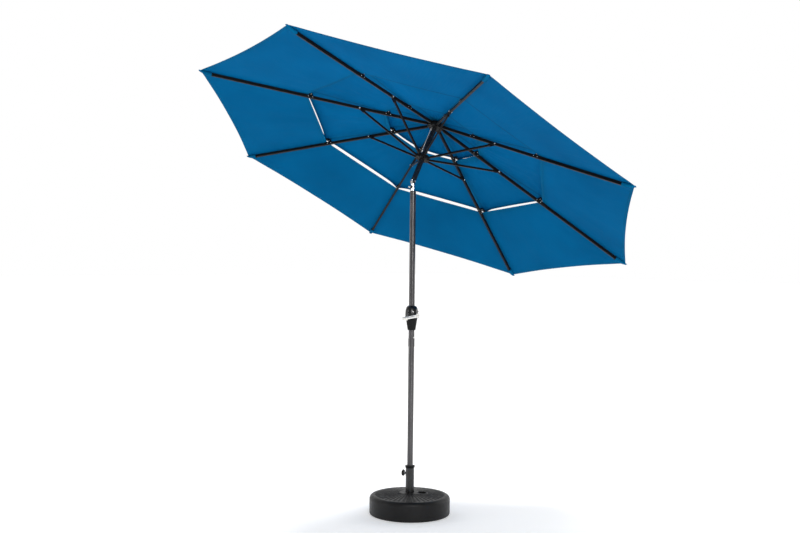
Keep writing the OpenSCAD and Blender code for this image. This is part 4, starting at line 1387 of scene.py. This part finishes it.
class UMBRELLA_OT_cords(bpy.types.Operator):
    """Run the lift cord from its spool up the pole, over the pulley and down to the runner"""

    bl_idname = "umbrella.cords"
    bl_label = "Lift cord"

    def execute(self, context):
        s = context.scene.umbrella_frame
        r = s.cord_d / 2
        pole_low, pole_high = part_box("cord_in_pole")
        rise = [(s.cord_x, 0.0, z) for z in np.linspace(pole_low.z, pole_high.z, 40)]
        self.run("lift_cord_in_pole", rise, r, "middle_mast", ["cord_in_pole"])
        wheel = HUB_UP - s.pulley_down
        start = 0.018
        over = [(s.cord_x, 0.0, z) for z in np.linspace(start, wheel, 24)]
        over += [
            (s.pulley_x + s.pulley_r * math.cos(a), 0.0, wheel + s.pulley_r * math.sin(a))
            for a in np.linspace(0.0, math.pi, 21)[1:]
        ]
        self.run("lift_cord_in_head", [ON_HEAD @ Vector(p) for p in over], r, "head", ["cord_in_head"])
        x = s.pulley_x - s.pulley_r
        drop = (HUB - joint_point("strut_1_hinge")).dot((HUB - HINGE).normalized())
        foot = HUB_UP - drop + 0.013
        hang = [ON_HEAD @ Vector((x, 0.0, z)) for z in np.linspace(wheel, foot, 16)]
        self.run("lift_cord_to_runner", hang, r, "head", ["cord_run"])
        travel = JOINTS["runner_slide"]["range_m"][1]
        spare = [ON_HEAD @ Vector((x, 0.0, z)) for z in np.linspace(foot, foot + travel + 0.012, 14)]
        self.run("lift_cord_on_runner", spare, r * 0.96, "runner", [])
        return {"FINISHED"}

    def run(self, name, path, r, body, replaced):
        """One length of the cord, taut between two fittings."""
        piece = make_piece(name, tube_along(path, r, 14))
        seat(piece, body, finishes()["cord"], "cord", *replaced)
        path = [Vector(p) for p in path]


# Fittings on the ribs


class UMBRELLA_OT_fittings(bpy.types.Operator):
    """Make the vent brackets, end caps and rivets of the eight ribs"""

    bl_idname = "umbrella.fittings"
    bl_label = "Rib fittings"

    def execute(self, context):
        s = context.scene.umbrella_frame
        for k in range(RIBS):
            place, body = on_rib(k), f"rib_{k + 1}"
            stands = (s.inner_bracket, s.outer_bracket)
            part = joined(*[self.bracket(s, at) for at in stands], self.end_cap(context))
            brackets = make_piece(f"vent_brackets_{k + 1}", part, place, bevel=0.0006)
            seat(brackets, body, finishes()["fitting_plastic"], "fitting_plastic", f"fittings_{k + 1}")
            heads, outs, sizes = self.rivets(s)
            turn = place.to_3x3()
            rivets = repeated(
                f"rivets_{k + 1}",
                "rivets",
                [place @ Vector(p) for p in heads],
                [],
                {"out": [tuple(turn @ Vector(o)) for o in outs]},
                {"size": sizes},
                {"Radius": s.rivet_r, "Height": s.rivet_r * 0.5, "Finish": finishes()["bright_steel"]},
            )
            seat(rivets, body, None, "bright_steel")
            ends = joined(*[self.tip(s, at) for at in stands])
            tips = make_piece(f"finger_tips_{k + 1}", ends, place)
            seat(tips, body, finishes()["fitting_plastic"], "fitting_plastic")
        return {"FINISHED"}

    def bracket(self, s, at):
        """A saddle over the rib with a long foot outwards, and a post that arches up to the tier's corner."""
        half, top = s.rib_w / 2 + 0.0013, s.rib_h / 2
        stations = [
            (at - 0.017, 0.25, 0.0),
            (at - 0.013, 1.0, 0.0),
            (at + 0.02, 1.0, 0.0),
            (at + 0.036, 0.8, 0.004),
            (at + 0.064, 0.1, 0.009),
        ]
        rings = []
        for x, full, rise in stations:
            w, low, high = half - 0.0008 * (1.0 - full), -0.0075 + rise, top + 0.0006 + 0.0018 * full
            side = [(w, low), (w, high - 0.001), (w - 0.001, high)]
            rings.append([(-w, low)] + side + [(-w + 0.001, high), (-w, high - 0.001)])
        cover = swept([(x, 0.0) for x, full, rise in stations], rings)
        end = at + s.finger - 0.004
        post = [
            (at - 0.003, top - 0.002, 0.0205, 0.027),
            (at + 0.001, top + 0.007, 0.0205, 0.026),
            (at + 0.006, top + 0.0155, 0.02, 0.022),
            (at + 0.014, top + 0.0215, 0.0185, 0.0165),
            (at + 0.024, s.finger_up - 0.0055, 0.016, 0.0095),
            (at + 0.034, s.finger_up - 0.003, 0.013, 0.006),
            (end, s.finger_up - 0.0016, 0.0105, 0.0034),
        ]
        finger = swept([(x, z) for x, z, w, t in post], [strip(w, t) for x, z, w, t in post])
        return joined(cover, finger)

    def tip(self, s, at):
        """The sewn pocket over a finger's end."""
        end = at + s.finger
        stations = [
            (end - 0.026, 0.0135, 0.0052),
            (end - 0.024, 0.015, 0.0062),
            (end - 0.012, 0.0155, 0.0064),
            (end - 0.002, 0.0135, 0.0056),
            (end, 0.0095, 0.0036),
        ]
        path = [(x, s.finger_up - 0.0012) for x, w, t in stations]
        return swept(path, [strip(w, t, 0.35) for x, w, t in stations])

    def end_cap(self, context):
        """The plug that closes a rib's tip."""
        s, long = context.scene.umbrella_frame, context.scene.umbrella_canopy.rib_len
        w, h = s.rib_w, s.rib_h
        stations = [(long - 0.016, 1.1), (long - 0.015, 1.16), (long - 0.001, 1.16), (long, 1.0)]
        rings = []
        for x, k in stations:
            rings.append(cut_corners(w / 2 * k, h / 2 * k, 0.002))
        return swept([(x, 0.0) for x, k in stations], rings)

    def rivets(self, s):
        """Places, directions and sizes of the rivet heads of one rib."""
        heads, outs, sizes = [], [], []
        side_y = s.rib_w / 2 + 0.0013
        for at in (s.inner_bracket, s.outer_bracket):
            for side in (-1, 1):
                for x, y, z in ((-0.0135, side_y, 0.001), (0.016, side_y, 0.001), (0.0015, 0.0101, 0.0165)):
                    heads.append((at + x, side * y, z))
                    outs.append((0.0, side, 0.0))
                    sizes.append(1.0)
        for side in (-1, 1):
            heads.append((s.strut_at, side * (s.rib_w / 2 + 0.0036), 0.0))
            outs.append((0.0, side, 0.0))
            sizes.append(2.0)
        return heads, outs, sizes


# Finishes on the frame


class UMBRELLA_OT_frame_finishes(bpy.types.Operator):
    """Put each carried-over frame part's own finish on it"""

    bl_idname = "umbrella.frame_finishes"
    bl_label = "Frame finishes"

    def execute(self, context):
        slots = {
            row["node"]: row.get("material_slot")
            for row in frame["record"]["subparts"]
            if isinstance(row, dict) and "node" in row
        }
        own = {"crank_cone": "cone_plastic", "hub": "cone_plastic", "runner": "cone_plastic"}
        known = finishes()
        for name, node in frame["nodes"].items():
            finish = known[own.get(name, slots.get(name) or "black_plastic")]
            for i in range(len(node.material_slots)):
                node.material_slots[i].material = finish
            if not node.material_slots:
                node.data.materials.append(finish)
        return {"FINISHED"}


# Stage


class UMBRELLA_OT_stage(bpy.types.Operator):
    """Lay the pale floor, hang the soft lights and set the camera"""

    bl_idname = "umbrella.stage"
    bl_label = "Stage"

    def execute(self, context):
        s, scene = context.scene.umbrella_stage, context.scene
        scene.view_settings.view_transform = "Standard"
        far = s.floor_reach
        corners = [(-far, -far, 0), (far, -far, 0), (far, far, 0), (-far, far, 0)]
        floor = make_piece("floor", (corners, [(0, 1, 2, 3)]))
        finish, tree, shader, place = new_finish("Floor paint")
        pale = tuple(scene.umbrella_colours.floor)
        hue = tint(tree, between(tree, noise(tree, place, 1.5), 0.0, 1.0), pale, (0.94, 0.94, 0.94))
        tree.links.new(hue, shader.inputs["Base Color"])
        shader.inputs["Roughness"].default_value = 0.9
        shader.inputs["Emission Color"].default_value = (1.0, 1.0, 1.0, 1.0)
        shader.inputs["Emission Strength"].default_value = s.floor_glow
        floor.data.materials.append(finish)
        world = bpy.data.worlds.new("Pale surroundings")
        world.use_nodes = True
        sky = world.node_tree.nodes["Background"]
        self.backdrop(world.node_tree, sky, s)
        sky.inputs["Strength"].default_value = s.sky
        scene.world = world
        self.lamp("key", (-4.2, -5.6, 3.2), (0.0, 0.0, 1.4), s.key, 2.2)
        self.lamp("fill", (5.0, -2.5, 2.4), (0.0, 0.0, 1.2), s.fill, 2.6)
        turn = 4.6 * GORE
        over = ON_HUB @ Vector((math.cos(turn) * 1.3, math.sin(turn) * 1.3, 2.1))
        onto = ON_HUB @ Vector((math.cos(turn) * 0.7, math.sin(turn) * 0.7, -0.2))
        self.lamp("back", over, onto, s.back, 2.2)
        for name, aside in (("strip_right", s.strip_right), ("strip_left", s.strip_left)):
            turn = s.camera_round - math.radians(90) + aside
            at = (5.2 * math.cos(turn), 5.2 * math.sin(turn), 1.35)
            self.lamp(name, at, (0.0, 0.0, 1.35), s.strips, 0.22, tall=2.9)
        above = bpy.data.lights.new("above", "SUN")
        above.energy, above.angle = s.sun, math.radians(9)
        lit = bpy.data.objects.new("above", above)
        lit.rotation_euler = Vector((0.25, 0.5, 1.0)).to_track_quat("Z", "Y").to_euler()
        scene.collection.objects.link(lit)
        self.camera(context)
        return {"FINISHED"}

    def backdrop(self, tree, sky, s):
        """White behind the umbrella, and greyer on the side that the camera stands on."""
        ahead = (-math.sin(s.camera_round), math.cos(s.camera_round), 0.0)
        way = add(tree, "ShaderNodeTexCoord").outputs["Generated"]
        facing = add(tree, "ShaderNodeVectorMath", {0: way, 1: ahead}, operation="DOT_PRODUCT")
        shade = between(tree, facing.outputs["Value"], s.dim, 1.0, -0.05, 0.3)
        tree.links.new(tint(tree, shade, (0.0, 0.0, 0.0), (1.0, 1.0, 1.0)), sky.inputs["Color"])

    def lamp(self, name, at, towards, power, wide, tall=None):
        """A soft light that looks at a point."""
        light = bpy.data.lights.new(name, "AREA")
        light.shape = "RECTANGLE"
        light.energy, light.size, light.size_y = power, wide, tall or wide
        lamp = bpy.data.objects.new(name, light)
        lamp.location = at
        lamp.rotation_euler = (Vector(at) - Vector(towards)).to_track_quat("Z", "Y").to_euler()
        lamp.visible_camera = False
        bpy.context.scene.collection.objects.link(lamp)

    def camera(self, context):
        """The camera stands before the umbrella a little off the direction of its tilt."""
        s = context.scene.umbrella_stage
        turn = Matrix.Rotation(s.camera_yaw, 3, "Z")
        right = turn @ Vector((1.0, 0.0, 0.0))
        forward = turn @ Vector((0.0, math.cos(s.camera_down), -math.sin(s.camera_down)))
        up = turn @ Vector((0.0, math.sin(s.camera_down), math.cos(s.camera_down)))
        x = right * math.cos(s.camera_roll) + up * math.sin(s.camera_roll)
        y = up * math.cos(s.camera_roll) - right * math.sin(s.camera_roll)
        look = Matrix((x, y, -forward)).transposed().to_4x4()
        look.translation = Vector((0.0, -s.camera_far, s.camera_high))
        view = bpy.data.cameras.new("camera")
        view.lens, view.sensor_width = s.lens, 36.0
        view.clip_end = 200.0
        camera = bpy.data.objects.new("camera", view)
        camera.matrix_world = Matrix.Rotation(s.camera_round, 4, "Z") @ look
        context.scene.collection.objects.link(camera)
        context.scene.camera = camera


# Panel


OPERATORS = [
    UMBRELLA_OT_frame_finishes,
    UMBRELLA_OT_stage,
    UMBRELLA_OT_cords,
    UMBRELLA_OT_base,
    UMBRELLA_OT_clamp,
    UMBRELLA_OT_crank,
    UMBRELLA_OT_fittings,
    UMBRELLA_OT_canopy,
]


class UMBRELLA_PT_parts(bpy.types.Panel):
    """Every piece of the umbrella, and the sizes and colours it is made to"""

    bl_label = "Patio umbrella"
    bl_idname = "UMBRELLA_PT_parts"
    bl_space_type = "VIEW_3D"
    bl_region_type = "UI"
    bl_category = "Umbrella"

    def draw(self, context):
        layout = self.layout
        for operator in OPERATORS:
            layout.operator(operator.bl_idname, text=operator.bl_label)
        for name in GROUPS:
            group = getattr(context.scene, name)
            frame_box = layout.box()
            frame_box.label(text=type(group).__name__)
            for key in group.__annotations__:
                frame_box.prop(group, key)


def register():
    for group in GROUPS.values():
        bpy.utils.register_class(group)
    for operator in OPERATORS:
        bpy.utils.register_class(operator)
    bpy.utils.register_class(UMBRELLA_PT_parts)
    for name, group in GROUPS.items():
        setattr(bpy.types.Scene, name, PointerProperty(type=group))


def unregister():
    for name in GROUPS:
        delattr(bpy.types.Scene, name)
    bpy.utils.unregister_class(UMBRELLA_PT_parts)
    for operator in reversed(OPERATORS):
        bpy.utils.unregister_class(operator)
    for group in reversed(list(GROUPS.values())):
        bpy.utils.unregister_class(group)


def main():
    """Makes every piece in turn."""
    register()
    bpy.ops.umbrella.frame_finishes()
    bpy.ops.umbrella.stage()
    bpy.ops.umbrella.cords()
    bpy.ops.umbrella.base()
    bpy.ops.umbrella.clamp()
    bpy.ops.umbrella.crank()
    bpy.ops.umbrella.fittings()
    bpy.ops.umbrella.canopy()


if __name__ == "__main__":
    main()
